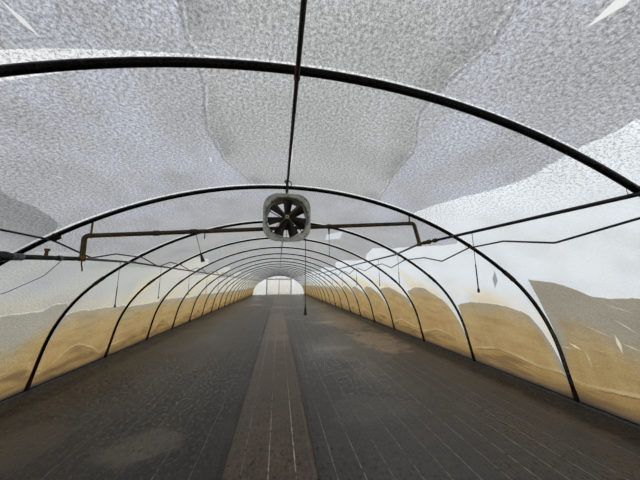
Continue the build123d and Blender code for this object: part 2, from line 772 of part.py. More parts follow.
# Droppers: thin stiff tubes below the laterals, each with a thicker lower half and a nozzle,
# and one thin tube that has sprung outwards from the near left pipe
far_ys = hoop_ys[:fan_bay_count - 1] + hoop_ys[fan_bay_count + 1:-1]
dropper_tops = [
    (Vector(lateral_left_x, y + dropper_left_place * bay_length, wrap_tie.Z), dropper_left_length)
    for y in far_ys
]
dropper_tops += [
    (Vector(lateral_right_x, y + dropper_right_place * bay_length, tie_point(lateral_right_x, 1).Z),
     dropper_right_length)
    for y in far_ys
]
for hub, x, way, place, length in (
    (hub_right, lateral_right_x, -1, near_right_place, dropper_right_length),
    (hub_right, lateral_right_x, 1, far_right_place, dropper_right_length),
    (hub_left, lateral_left_x, 1, far_left_place, dropper_left_length),
):
    dropper_tops.append((hub + (tie_point(x, way) - hub) * place, length))

with BuildPart() as droppers:
    for top, length in dropper_tops:
        top_z = top.Z - lateral_radius - 2 * seat_gap
        thin_length = length * dropper_thin_share
        thick_length = length - thin_length
        with Locations((top.X, top.Y, top_z - thin_length / 2)):
            Cylinder(dropper_thin_radius, thin_length)
        with Locations((top.X, top.Y, top_z - thin_length - thick_length / 2)):
            Cylinder(dropper_radius, thick_length)
        with Locations((top.X, top.Y, top_z - length)):
            Cylinder(nozzle_radius, nozzle_length)
    loose_top = hub_left + (wrap_corner - hub_left) * loose_place
    loose_top = loose_top - Vector(0, 0, lateral_radius + dropper_thin_radius - 2 * seat_gap)
    loose_points = [loose_top + Vector(*step) for step in loose_steps]
    add(pipe_along(dropper_thin_radius, loose_bend, loose_top, *loose_points).part)
save(droppers, "droppers")

# Cross pipe droppers: a leaning one with a weight, a short stub, and a cone with a thin tube
leaning_way = Vector(sin(radians(leaning_angle)), 0, -cos(radians(leaning_angle)))
under_coupling = cross_pipe_radius + coupling_wall + 2 * seat_gap
cross_slope = cross_way.Z / cross_way.X
with BuildPart() as cross_pipe_droppers:
    leaning_tilt = dropper_thin_radius * sin(radians(leaning_angle))
    leaning_top = cross_point(leaning_x) - Vector(0, 0, under_coupling + leaning_tilt)
    with BuildSketch(Plane(leaning_top, z_dir=leaning_way)):
        Circle(dropper_thin_radius)
    extrude(amount=leaning_length)
    leaning_foot = Plane(leaning_top + leaning_way * leaning_length, z_dir=leaning_way)
    with BuildSketch(leaning_foot):
        Circle(weight_top_radius)
    with BuildSketch(leaning_foot.offset(weight_length)):
        Circle(weight_foot_radius)
    loft()
    stub_top = cross_point(stub_x).Z - cross_pipe_radius - 3 * seat_gap
    with Locations((stub_x, cross_y, stub_top - stub_length / 2)):
        Cylinder(dropper_radius, stub_length)
    cone_top = cross_point(cone_x).Z - under_coupling - cone_top_radius * cross_slope
    with Locations((cone_x, cross_y, cone_top - cone_length / 2)):
        Cone(cone_foot_radius, cone_top_radius, cone_length)
    with Locations((cone_x, cross_y, cone_top - cone_length - cone_dropper_length / 2)):
        Cylinder(dropper_thin_radius, cone_dropper_length)
save(cross_pipe_droppers, "cross_pipe_droppers")

# Hanging cord: straight down from its band on the cross pipe, with a cone weight on its end
cord_top = cross_point(coupling_xs[2]) - Vector(0, 0, under_coupling + cord_radius * cross_slope)
with BuildPart() as hanging_cord:
    with Locations(cord_top - Vector(0, 0, cord_length / 2)):
        Cylinder(cord_radius, cord_length)
save(hanging_cord, "hanging_cord")

with BuildPart() as cord_weight:
    with Locations(cord_top - Vector(0, 0, cord_length + seat_gap + weight_length / 2)):
        Cone(weight_foot_radius, weight_top_radius, weight_length)
save(cord_weight, "cord_weight")
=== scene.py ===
from bisect import bisect_right
from functools import partial
from math import atan2, cos, floor, hypot, pi, radians, sin, sqrt

import bmesh
import bpy
from mathutils import Matrix, Vector, noise


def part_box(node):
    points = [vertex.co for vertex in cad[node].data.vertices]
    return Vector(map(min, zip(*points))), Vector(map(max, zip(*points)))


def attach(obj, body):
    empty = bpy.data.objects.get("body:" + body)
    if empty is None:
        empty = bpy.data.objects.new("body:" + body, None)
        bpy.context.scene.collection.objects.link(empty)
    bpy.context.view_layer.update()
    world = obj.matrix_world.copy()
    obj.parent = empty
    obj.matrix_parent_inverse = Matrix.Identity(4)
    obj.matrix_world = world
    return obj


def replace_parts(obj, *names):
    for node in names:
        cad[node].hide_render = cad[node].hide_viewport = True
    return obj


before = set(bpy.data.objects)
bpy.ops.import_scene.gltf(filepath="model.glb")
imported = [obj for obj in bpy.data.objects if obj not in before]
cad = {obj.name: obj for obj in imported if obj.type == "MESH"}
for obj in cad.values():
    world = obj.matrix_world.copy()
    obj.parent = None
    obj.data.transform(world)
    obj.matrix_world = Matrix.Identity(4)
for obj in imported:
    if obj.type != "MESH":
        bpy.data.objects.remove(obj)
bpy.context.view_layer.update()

# Camera: it stands inside the near doors at head height and looks down the tunnel,
# a little to the right and upwards, through a very wide lens.
eye = Vector((-0.083, -19.254, 1.620))
turn, tilt, roll = radians(9.37), radians(9.85), radians(-0.54)
lens_width = 36.0
focal_share = 250.2 / 640
looking = Vector((sin(turn) * cos(tilt), cos(turn) * cos(tilt), sin(tilt)))
level_right = Vector((cos(turn), -sin(turn), 0))
level_up = level_right.cross(looking)
camera_right = level_right * cos(roll) + level_up * sin(roll)
camera_up = level_up * cos(roll) - level_right * sin(roll)
camera_data = bpy.data.cameras.new("camera")
camera_data.sensor_width = lens_width
camera_data.lens = lens_width * focal_share
camera_data.clip_start, camera_data.clip_end = 0.02, 300.0
camera = bpy.data.objects.new("camera", camera_data)
bpy.context.scene.collection.objects.link(camera)
camera.matrix_world = Matrix((
    (camera_right.x, camera_up.x, -looking.x, eye.x),
    (camera_right.y, camera_up.y, -looking.y, eye.y),
    (camera_right.z, camera_up.z, -looking.z, eye.z),
    (0, 0, 0, 1),
))
bpy.context.scene.camera = camera
bpy.context.scene.view_settings.view_transform = "Standard"


# Sky and floor: a pale even sky that shines through the film, a soft low lamp on the right,
# and a plain pale floor. The sky looks white in the picture and in what is mirrored.
def put(tree, kind, values=None, **settings):
    """Adds one node; values are numbers or sockets for its inputs."""
    made = tree.nodes.new(kind)
    for key, value in settings.items():
        setattr(made, key, value)
    for key, value in (values or {}).items():
        if isinstance(value, bpy.types.NodeSocket):
            tree.links.new(value, made.inputs[key])
        else:
            made.inputs[key].default_value = value
    return made


def tree_of(*values):
    """The node tree of the first socket among some values."""
    return next(value.id_data for value in values if isinstance(value, bpy.types.NodeSocket))


def arithmetic(operation, a, b=0.0, clamp=False):
    """One step of arithmetic on two numbers or sockets."""
    return put(tree_of(a, b), "ShaderNodeMath", {0: a, 1: b}, operation=operation, use_clamp=clamp).outputs[0]


times, plus, minus, divided, larger, unsigned, root, sine, pingpong, modulo = (
    partial(arithmetic, name) for name in (
        "MULTIPLY", "ADD", "SUBTRACT", "DIVIDE", "MAXIMUM",
        "ABSOLUTE", "SQRT", "SINE", "PINGPONG", "FLOORED_MODULO"))


def seen_white(tree, lit_colour):
    """White for the camera and for mirrors and glass, lit_colour for everything else."""
    path = put(tree, "ShaderNodeLightPath")
    shown = larger(path.outputs["Is Camera Ray"], path.outputs["Is Glossy Ray"])
    shown = larger(shown, path.outputs["Is Transmission Ray"])
    return put(tree, "ShaderNodeMix", {0: shown, 6: lit_colour, 7: (1, 1, 1, 1)}, data_type="RGBA").outputs[2]


def add_piece(name, data):
    """Puts a new object into the scene."""
    piece = bpy.data.objects.new(name, data)
    bpy.context.scene.collection.objects.link(piece)
    return piece


sky_light = (1.10, 1.11, 1.12, 1)
floor_pale = (0.60, 0.60, 0.59, 1)
floor_half, floor_below = 260.0, 0.004
sky = bpy.data.worlds.new("pale sky")
sky.use_nodes = True
bpy.context.scene.world = sky
sky_tree = sky.node_tree
sky_tree.nodes["Background"].inputs["Strength"].default_value = 1.0
sky_tree.links.new(seen_white(sky_tree, sky_light), sky_tree.nodes["Background"].inputs["Color"])

lamp_data = bpy.data.lights.new("soft lamp", "SUN")
lamp_data.energy = 0.80
lamp_data.angle = radians(75)
lamp = add_piece("soft lamp", lamp_data)
lamp.rotation_euler = (radians(15), radians(10), 0)

floor_finish = bpy.data.materials.new("pale floor")
floor_finish.use_nodes = True
floor_tree = floor_finish.node_tree
floor_shader = floor_tree.nodes["Principled BSDF"]
floor_shader.inputs["Base Color"].default_value = floor_pale
floor_shader.inputs["Roughness"].default_value = 0.9
floor_mesh = bmesh.new()
bmesh.ops.create_grid(floor_mesh, x_segments=1, y_segments=1, size=floor_half)
bmesh.ops.translate(floor_mesh, verts=floor_mesh.verts, vec=(0, 0, -floor_below))
floor_data = bpy.data.meshes.new("floor")
floor_mesh.to_mesh(floor_data)
floor_mesh.free()
floor_data.materials.append(floor_finish)
add_piece("floor", floor_data)


# Hanging cord: thin dark twine, straight down from its band on the cross pipe behind the fan,
# knotted to a cone of black rubber that keeps it from swinging.
def paint(code):
    """A colour from its six-figure code, in the linear values that a shader takes."""
    parts = [int(code[i:i + 2], 16) / 255 for i in (0, 2, 4)]
    return tuple(c / 12.92 if c <= 0.04045 else ((c + 0.055) / 1.055) ** 2.4 for c in parts) + (1,)


def over(below, above, share, amount=1.0):
    """Lays a colour over another by a share. A colour is a socket, four numbers or a six-figure code."""
    below, above = (paint(colour) if isinstance(colour, str) else colour for colour in (below, above))
    share = share if amount == 1.0 else times(share, amount)
    return put(tree_of(share, below), "ShaderNodeMix", {
        0: share, 6: below, 7: above}, data_type="RGBA").outputs[2]


def lit_by(colour, level):
    """A colour made brighter or darker by a level."""
    grey = put(colour.id_data, "ShaderNodeCombineXYZ", {0: level, 1: level, 2: level}).outputs[0]
    return put(colour.id_data, "ShaderNodeMix", {
        0: 1.0, 6: colour, 7: grey}, data_type="RGBA", blend_type="MULTIPLY").outputs[2]


def moved(vector, stretch=(1, 1, 1), turned=(0, 0, 0), shift=(0, 0, 0)):
    """A place, stretched and turned for one pattern."""
    return put(vector.id_data, "ShaderNodeMapping", {
        "Vector": vector, "Scale": stretch, "Rotation": turned, "Location": shift}).outputs[0]


def place(tree, stretch=(1, 1, 1), shift=(0, 0, 0)):
    """Object coordinates, stretched for one pattern."""
    return moved(put(tree, "ShaderNodeTexCoord").outputs["Object"], stretch, shift=shift)


def cloud(vector, scale, detail, rough=0.5):
    """Soft random values round a half."""
    return put(vector.id_data, "ShaderNodeTexNoise", {
        "Vector": vector, "Scale": scale, "Detail": detail, "Roughness": rough}).outputs[0]


def rise(value, low, high):
    """0 under low, 1 over high, smooth between."""
    return put(value.id_data, "ShaderNodeMapRange", {
        0: value, 1: low, 2: high}, interpolation_type="SMOOTHSTEP").outputs[0]


def ranged(value, to_low, to_high, low=0.0, high=1.0):
    """Moves a value evenly from one range to another."""
    return put(value.id_data, "ShaderNodeMapRange", {
        0: value, 1: low, 2: high, 3: to_low, 4: to_high}).outputs[0]


def mottle(vector, scale, low, high, detail=4.0, rough=0.55):
    """A soft random pattern, 0 under low and 1 over high."""
    return rise(cloud(vector, scale, detail, rough), low, high)


def bumped(height, strength, distance):
    """A surface direction pushed about by a height."""
    return put(height.id_data, "ShaderNodeBump", {
        "Height": height, "Strength": strength, "Distance": distance}).outputs[0]


def blank(name):
    """A new material with its shader, and the tree to build its pattern in."""
    made = bpy.data.materials.new(name)
    made.use_nodes = True
    return made, made.node_tree, made.node_tree.nodes["Principled BSDF"]


def aged(name, base, worn, grime, size=9.0, rough=(0.4, 0.7), metal=0.0, shine=0.5, dents=0.15, extra=None):
    """A weathered surface: two tones in patches, grime in spots, and a roughness and bump to match."""
    made, tree, shader = blank(name)
    where = place(tree)
    spots = mottle(where, size * 7, 0.52, 0.66, 6.0, 0.65)
    colour = over(over(base, worn, mottle(where, size, 0.42, 0.62)), grime, spots)
    if extra:
        colour = extra(tree, colour)
    tree.links.new(colour, shader.inputs["Base Color"])
    tree.links.new(ranged(spots, *rough), shader.inputs["Roughness"])
    grain = mottle(where, size * 22, 0.2, 0.8, 5.0)
    tree.links.new(bumped(grain, dents, 0.002), shader.inputs["Normal"])
    shader.inputs["Metallic"].default_value = metal
    shader.inputs["Specular IOR Level"].default_value = shine
    return made


def finish_node(name, material):
    """Gives a CAD node its material."""
    cad[name].data.materials.clear()
    cad[name].data.materials.append(material)


def piece_from(bm, name, finishes, body="root", smooth=False):
    """Turns a finished bmesh into a piece that rides on a body."""
    mesh = bpy.data.meshes.new(name)
    bm.to_mesh(mesh)
    bm.free()
    for material in finishes:
        mesh.materials.append(material)
    mesh.polygons.foreach_set("use_smooth", [smooth] * len(mesh.polygons))
    piece = add_piece(name, mesh)
    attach(piece, body)
    return piece


def closed_piece(bm, name, finish, body="root", smooth=False):
    """A piece whose parts are merged where they touch, with every face pointed outwards."""
    bmesh.ops.remove_doubles(bm, verts=bm.verts, dist=1e-6)
    bmesh.ops.recalc_face_normals(bm, faces=bm.faces)
    return piece_from(bm, name, [finish], body, smooth)


def wire(name, points, radius, finish, closed=False, rounding=2, steps=6):
    """A cord, stiff wire or small pipe as a smooth curve of its own."""
    curve = bpy.data.curves.new(name, "CURVE")
    curve.dimensions = "3D"
    line = curve.splines.new("NURBS")
    line.points.add(len(points) - 1)
    for point, spot in zip(line.points, points):
        point.co = (*spot, 1)
    line.order_u = 3
    line.use_endpoint_u = not closed
    line.use_cyclic_u = closed
    curve.bevel_depth = radius
    curve.bevel_resolution = rounding
    curve.resolution_u = steps
    curve.use_fill_caps = not closed
    curve.materials.append(finish)
    piece = add_piece(name, curve)
    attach(piece, "root")
    return piece


cord_low, cord_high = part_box("hanging_cord")
cord_radius = 0.004
cord_exit = Vector(((cord_low.x + cord_high.x) / 2, (cord_low.y + cord_high.y) / 2, cord_high.z))
cord_drop = cord_high.z - cord_low.z
twine = aged("dark twine", "1A1817", "2B2622", "3A332C", 60, (0.8, 0.95), dents=0.5)
cord_sway = ((0, 0, 0), (0.001, 0, 0.06), (0.003, 0.001, 0.3), (-0.002, 0.002, 0.62), (0, 0, cord_drop))
cord_piece = wire(
    "hanging_cord_twine", [cord_exit + Vector((aside, back, -down)) for aside, back, down in cord_sway],
    cord_radius, twine, rounding=3, steps=12)
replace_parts(cord_piece, "hanging_cord")

weight_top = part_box("cord_weight")[1].z
knot = bmesh.new()
for i, lift in enumerate((0.004, 0.011, 0.018)):
    bmesh.ops.create_uvsphere(
        knot, u_segments=12, v_segments=8, radius=0.0075 - 0.001 * i,
        matrix=Matrix.Translation((cord_exit.x, cord_exit.y, weight_top + lift)))
knot_piece = piece_from(knot, "cord_knot", [twine], smooth=True)
finish_node("cord_weight", aged("black rubber", "0D0D0D", "1A1917", "2C2824", 20, (0.5, 0.8), dents=0.3))


# Hoops: round steel tube bent to a low arch with steep legs. Each has a leg at either side and
# one bow over the top, joined in rusty sleeves with set screws, and stands in ground tubes.
bay = 1.8
bays = 22
tunnel_half = bay * bays / 2
ridge = 2.828
roof_radius, roof_angle = 4.79, radians(40.2)
haunch_radius, leg_lean = 2.0, radians(12.25)
tube_radius = 0.02415
on_film = 0.02875                # from the centre of a tube to the skin of the CAD film
roof_centre_z = ridge - roof_radius
haunch_x = (roof_radius - haunch_radius) * sin(roof_angle)
haunch_z = roof_centre_z + (roof_radius - haunch_radius) * cos(roof_angle)
hoop_ys = [-tunnel_half + bay * i for i in range(bays + 1)]


def outline(along, offset=0.0):
    """Place and outward direction on the hoop's outline, at a length from the crown measured on the film."""
    side = 1 if along >= 0 else -1
    roof_run = (roof_radius + on_film) * roof_angle
    haunch_run = (haunch_radius + on_film) * (pi / 2 - leg_lean - roof_angle)
    run = abs(along)
    if run <= roof_run:
        angle = run / (roof_radius + on_film)
        x, z = (roof_radius + offset) * sin(angle), roof_centre_z + (roof_radius + offset) * cos(angle)
    else:
        angle = min(roof_angle + (run - roof_run) / (haunch_radius + on_film), pi / 2 - leg_lean)
        x = haunch_x + (haunch_radius + offset) * sin(angle)
        z = haunch_z + (haunch_radius + offset) * cos(angle)
        down = max(run - roof_run - haunch_run, 0)
        x, z = x + down * sin(leg_lean), z - down * cos(leg_lean)
    return Vector((side * x, 0, z)), Vector((side * sin(angle), 0, cos(angle)))


def foot_rust(tree, colour):
    """Rust and splashed mud that grow towards the ground, and rust blooms higher up."""
    height = put(tree, "ShaderNodeSeparateXYZ", {0: place(tree)}).outputs["Z"]
    ragged = mottle(place(tree), 5, 0.3, 0.7)
    low = rise(minus(height, times(ragged, 0.5)), 0.55, -0.1)
    rusty = over("3A2317", "20140E", mottle(place(tree), 40, 0.4, 0.6))
    colour = over(colour, rusty, low)
    bloom = mottle(place(tree, (1, 1, 0.6)), 3.1, 0.66, 0.74, 6.0)
    return over(colour, "2A1A12", bloom, 0.8)


def hoop_highlight_and_rust(tree, colour):
    """A painted highlight: pale grey on the side of the tube that faces left, towards the near end and up, under
    the rust at the foot.
    """
    highlight_side = (-0.75, -0.50, 0.43)
    facing = put(tree, "ShaderNodeVectorMath", {
        0: put(tree, "ShaderNodeTexCoord").outputs["Normal"], 1: highlight_side},
        operation="DOT_PRODUCT").outputs["Value"]
    # painted highlight, strongest where the tube's surface faces that side
    painted_highlight = times(rise(facing, 0.45, 0.90), mottle(place(tree), 9, 0.25, 0.6))
    colour = over(colour, "969892", painted_highlight, 0.60)
    return foot_rust(tree, colour)


# the hoop tube's finish carries a painted highlight on one side
hoop_tube = aged("hoop tube", "060606", "0D0E0E", "1A1613", 7, (0.24, 0.42), shine=0.07, extra=hoop_highlight_and_rust)
sleeve_rust = aged("rusty sleeve", "1C120D", "2E1C12", "0F0C0A", 14, (0.6, 0.85), shine=0.3, dents=0.4)
ground_tube = aged("muddy ground tube", "1E1712", "30251C", "12100D", 12, (0.6, 0.9), shine=0.3, dents=0.4)
finish_node("hoop_legs", hoop_tube)
finish_node("roof_bows", hoop_tube)
finish_node("splice_sleeves", sleeve_rust)
finish_node("ground_tubes", ground_tube)


def add_screw(bm, head, facing, radius, height, sides=6):
    """One screw or bolt head with a raised middle, standing on a surface."""
    turned = Vector((0, 0, 1)).rotation_difference(facing).to_matrix().to_4x4()
    ring = bmesh.ops.create_circle(bm, cap_ends=True, segments=sides, radius=radius)
    face = ring["verts"][0].link_faces[0]
    lifted = bmesh.ops.extrude_face_region(bm, geom=[face])
    top = [v for v in lifted["geom"] if isinstance(v, bmesh.types.BMVert)]
    bmesh.ops.translate(bm, verts=top, vec=(0, 0, height))
    bmesh.ops.scale(bm, verts=top, vec=(0.82, 0.82, 1))
    bmesh.ops.transform(bm, matrix=Matrix.Translation(head) @ turned, verts=ring["verts"] + top)


def screws(name, spots, finish, body="root"):
    """All the screws of one kind, each given as its place, the way it faces, its size and its sides."""
    bm = bmesh.new()
    for spot in spots:
        add_screw(bm, *spot)
    return closed_piece(bm, name, finish, body)


splice_along = (roof_radius + on_film) * roof_angle
sleeve_skin = 0.02845
sleeve_screws = []
for y in hoop_ys:
    for along in (splice_along - 0.055, splice_along + 0.055):
        for side in (-1, 1):
            spot, outward = outline(side * along)
            head = spot - outward * (sleeve_skin - 0.001) + Vector((0, y, 0))
            sleeve_screws.append((head, -outward, 0.007, 0.008))
screws("sleeve_screws", sleeve_screws, sleeve_rust)


# Ridge purlin: a thin tube the whole length of the tunnel under the crowns, held to each hoop by
# a bent saddle clamp with two screws a side.
purlin_tube = aged("purlin tube", "0A0909", "1A1310", "2A1A12", 9, (0.45, 0.7), shine=0.3)
clamp_rust = aged("rusty clamp", "20130D", "33200F", "120E0B", 30, (0.6, 0.85), shine=0.3, dents=0.4)
finish_node("ridge_purlin", purlin_tube)
finish_node("purlin_clamps", clamp_rust)
saddle_reach, saddle_side, saddle_drop = 0.0279, 0.011, 0.008
screws("clamp_screws", [
    (Vector((x, y + way * saddle_reach, ridge - saddle_drop)), Vector((0, way, 0)), 0.005, 0.005)
    for y in hoop_ys for way in (-1, 1) for x in (-saddle_side, saddle_side)], clamp_rust)


# Polythene cover: one milky sheet of old greenhouse film, pulled over all the hoops and held at
# its foot. It dips between hoops, bellies inwards in a crease near the ground, and is grey with
# droplets overhead, clear and bright on the haunches, and ochre with algae below.
def line_at(points, place_in):
    """The value at a place on a line given by a few (place, value) points."""
    places = [p for p, _ in points]
    i = min(max(bisect_right(places, place_in), 1), len(points) - 1)
    (p0, v0), (p1, v1) = points[i - 1], points[i]
    share = min(max((place_in - p0) / (p1 - p0), 0), 1)
    return v0 + (v1 - v0) * share


# Where each zone begins, as (bays from the near end, length from the crown in metres). The far
# bays repeat each line's last two.
roof_zone_right = [
    (0.0, 1.85), (0.82, 1.89), (0.87, 1.91), (1.0, 1.93), (1.24, 1.96), (1.39, 1.93), (1.54, 1.85), (1.71, 1.79),
    (1.9, 1.74), (2.01, 1.73), (2.04, 2.5), (2.09, 2.59), (2.22, 2.57), (2.46, 2.48), (2.81, 2.33), (3.0, 2.3),
    (3.3, 2.1), (3.7, 2.2), (4.0, 2.4), (4.5, 2.3), (5.0, 2.1)]
roof_zone_left = [
    (0.0, 2.3), (1.0, 2.2), (1.49, 2.24), (1.57, 2.28), (1.66, 2.30), (1.78, 2.35), (1.94, 2.45), (2.1, 2.9),
    (2.7, 2.75), (3.0, 2.7), (3.1, 3.0), (3.8, 2.9), (4.0, 2.6), (4.1, 2.3), (4.6, 2.2), (5.0, 2.4)]
mould_zone_right = [
    (0.0, 3.70), (1.39, 3.75), (1.58, 3.76), (1.72, 3.57), (1.91, 3.46), (1.95, 3.80), (1.98, 4.05), (2.02, 4.95),
    (2.06, 4.60), (2.12, 4.20), (2.15, 4.11), (2.36, 3.99), (2.73, 4.01), (2.94, 4.10), (2.99, 4.12), (3.02, 4.9),
    (3.08, 4.5), (3.18, 4.0), (3.25, 3.95), (3.39, 3.71), (3.62, 3.68), (3.96, 3.84), (4.02, 4.3), (4.1, 4.05),
    (4.5, 3.7), (5.0, 3.8)]
mould_zone_left = [
    (0.0, 3.9), (0.9, 3.95), (1.3, 4.0), (1.7, 3.95), (1.95, 3.80), (2.0, 3.79), (2.08, 4.05), (2.45, 4.01),
    (2.76, 4.0), (2.83, 3.89), (2.99, 3.89), (3.03, 4.15), (3.11, 4.09), (3.96, 4.1), (4.02, 4.16), (4.96, 4.13)]
crease_right = [
    (0.0, 4.95), (1.2, 4.9), (1.5, 4.95), (1.68, 4.99), (1.84, 5.03), (1.96, 5.06), (2.06, 4.97), (2.23, 4.99),
    (2.31, 4.96), (2.45, 4.92), (2.6, 4.89), (2.73, 4.93), (3.0, 5.05), (3.3, 4.9), (3.6, 4.86), (4.0, 5.04)]
crease_left = [
    (0.0, 4.9), (1.0, 5.0), (1.5, 4.8), (1.8, 4.9), (2.0, 5.1), (2.4, 5.02), (2.73, 4.93), (2.78, 4.91),
    (2.83, 4.89), (2.91, 4.88), (2.99, 5.0), (3.07, 5.13), (3.19, 5.04), (3.25, 4.96), (3.34, 4.83),
    (3.43, 4.80), (3.55, 4.86), (3.71, 4.98), (3.86, 5.15), (4.0, 5.1)]
puddle_left = [
    (0.0, -0.50), (0.84, -0.53), (0.96, -0.55), (1.04, -0.55), (1.13, -0.57), (1.23, -0.62), (1.36, -0.65),
    (1.61, -0.64), (1.79, -0.52), (1.98, -0.42), (2.1, -0.32)]
puddle_right = [
    (0.0, 0.85), (0.70, 0.88), (0.74, 0.91), (0.80, 0.93), (0.86, 0.91), (0.97, 0.88), (1.07, 0.85), (1.13, 0.89),
    (1.29, 1.05), (1.41, 1.07), (1.61, 1.10), (1.83, 1.18), (2.1, 1.25)]


def zone_line(points, place_in, wander):
    """A zone's line at a place, its last two bays repeated down the tunnel with some wander."""
    last = points[-1][0]
    if place_in <= last:
        return line_at(points, place_in)
    turns = floor((place_in - last) / 2)
    shift = noise.noise(Vector((turns * 3.7 + 1.3, points[0][1], 0.4))) * wander
    return line_at(points, place_in - 2 * turns - 2) + shift


film_in, film_thickness = 0.0291, 0.0025
foot_run, belly_end = 5.322, 5.27
near_bays, end_lap = 5, 0.0346
around_steps, along_steps = 92, 400
near_share = 0.32                # of the steps lengthwise, for the near bays
cover = bmesh.new()
bmesh.ops.create_grid(cover, x_segments=around_steps, y_segments=along_steps, size=0.5)
film_map = cover.loops.layers.uv.new("film")
roof_layer = cover.verts.layers.float.new("roof_edge")
mould_layer = cover.verts.layers.float.new("mould_edge")
crease_layer = cover.verts.layers.float.new("crease_edge")
puddle_layer = cover.verts.layers.float.new("puddle_edge")
film_places = {}
for vert in cover.verts:
    share = vert.co.y + 0.5
    if share < near_share:
        y = -tunnel_half - end_lap + share / near_share * (near_bays * bay + end_lap)
    else:
        far_share = (share - near_share) / (1 - near_share)
        y = -tunnel_half + near_bays * bay + far_share * ((bays - near_bays) * bay + end_lap)
    s = vert.co.x * 2 * foot_run
    run = abs(s)
    bay_place = (y + tunnel_half) / bay
    in_bay = min(max(bay_place, 0.0), bays - 1e-6) % 1
    slack = sin(pi * in_bay)
    right_side = s > 0
    crease = zone_line(crease_right if right_side else crease_left, bay_place, 0.08)
    belly = 0.0
    if crease < run < belly_end:
        belly = sin(pi * (run - crease) / (belly_end - crease)) ** 0.7
    wrinkle = noise.fractal(Vector((y * 2.2, s * 1.5, 3.0)), 1.0, 2.0, 3)
    fold = noise.noise(Vector((y * 5.0, s * 2.0, 9.0)))
    dip = slack * (0.008 + 0.004 * wrinkle) * min(1, max(0, (5.2 - run) / 0.5))
    dip += belly * min(1, slack * 2.5) * (0.030 + 0.012 * fold)
    spot, outward = outline(s, film_in + film_thickness)
    vert[roof_layer] = run - zone_line(roof_zone_right if right_side else roof_zone_left, bay_place, 0.25)
    vert[mould_layer] = run - zone_line(mould_zone_right if right_side else mould_zone_left, bay_place, 0.12)
    vert[crease_layer] = run - crease
    vert[puddle_layer] = min(s - line_at(puddle_left, bay_place), line_at(puddle_right, bay_place) - s)
    film_places[vert] = (y, s)
    vert.co = spot + Vector((0, y, 0)) - outward * dip
for face in cover.faces:
    for loop in face.loops:
        loop[film_map].uv = film_places[loop.vert]


def on_sheet(y, s):
    """A place on a film's map: along the tunnel, and from the crown or up from the ground."""
    return put(y.id_data, "ShaderNodeCombineXYZ", {0: y, 1: s}).outputs[0]


def film_streak(y, s, start, end, width):
    """A straight slit or scratch in the film, tapered to nothing at its ends."""
    (y0, s0), (y1, s1) = start, end
    length, angle = hypot(y1 - y0, s1 - s0), atan2(s1 - s0, y1 - y0)
    dy = minus(y, (y0 + y1) / 2)
    ds = minus(s, (s0 + s1) / 2)
    along = plus(times(dy, cos(angle)), times(ds, sin(angle)))
    across = minus(times(ds, cos(angle)), times(dy, sin(angle)))
    left = divided(unsigned(along), length / 2)
    reach = times(minus(1.0, left), width)
    return rise(minus(reach, unsigned(across)), 0.0, width * 0.3)


def droplets(y, s, colour, strength):
    """Fine bright and dark speckle of the droplets that hang inside the film."""
    speckle = cloud(on_sheet(y, s), 50.0, 3.0, 1.0)
    lift = plus(1.0, times(minus(ranged(speckle, 0.44, 1.56, 0.38, 0.62), 1.0), strength))
    return lit_by(colour, lift)


def blend(share, first, second):
    """Two shaders mixed by a share."""
    return put(first.id_data, "ShaderNodeMixShader", {0: share, 1: first, 2: second}).outputs[0]


def shader_of(tree, kind, **values):
    """One plain shader."""
    return put(tree, "ShaderNodeBsdf" + kind, values).outputs[0]


def film_inner(name, coloured, clear_share=0.0):
    """The inner face of a film, coloured by a function of its map: most light comes through softly, some
    is thrown back, and a share goes straight through."""
    made, tree, shader = blank(name)
    tree.nodes.remove(shader)
    split = put(tree, "ShaderNodeSeparateXYZ", {0: put(tree, "ShaderNodeUVMap", uv_map="film").outputs[0]})
    colour = coloured(split.outputs["X"], split.outputs["Y"])
    normal = bumped(mottle(place(tree), 14, 0.2, 0.8, 2.0), 0.15, 0.006)
    milky = blend(0.25, shader_of(tree, "Translucent", Color=colour, Normal=normal),
                  shader_of(tree, "Diffuse", Color=colour, Normal=normal))
    skin = blend(0.02, milky, shader_of(tree, "Glossy", Roughness=0.35, Color=(1, 1, 1, 1)))
    if clear_share:
        skin = blend(clear_share, skin, shader_of(tree, "Transparent"))
    tree.links.new(skin, tree.nodes["Material Output"].inputs["Surface"])
    return made


def beside_hoops(y, s, run):
    """The bright dry line along each hoop: uneven overhead, and peeled in a strip behind the legs."""
    where = on_sheet(y, s)
    from_hoop = minus(modulo(plus(y, tunnel_half + bay / 2), bay), bay / 2)
    ragged = cloud(where, 0.9, 3.0)
    overhead = rise(run, 3.3, 2.4)
    first_hoop = times(rise(y, -17.1, -17.5), rise(s, -0.35, -1.55))
    reach = plus(0.010, times(ragged, 0.018))
    reach = plus(reach, times(first_hoop, 0.060))
    reach = plus(reach, times(rise(y, -17.5, -17.0), 0.013))
    line = rise(minus(unsigned(from_hoop), reach), 0.004, -0.004)
    strip = times(rise(run, 3.2, 3.9), rise(run, 5.05, 4.3))
    peeled = rise(ragged, 0.42, 0.62)
    torn_edge = cloud(where, 9.0, 4.0)
    strip_reach = plus(0.004, times(torn_edge, 0.030))
    strip_reach = plus(strip_reach, times(times(strip, plus(peeled, torn_edge)), 0.060))
    behind = times(rise(from_hoop, 0.0, 0.01), rise(minus(from_hoop, strip_reach), 0.006, -0.004))
    return plus(times(line, overhead), times(behind, minus(1.0, overhead)), clamp=True)


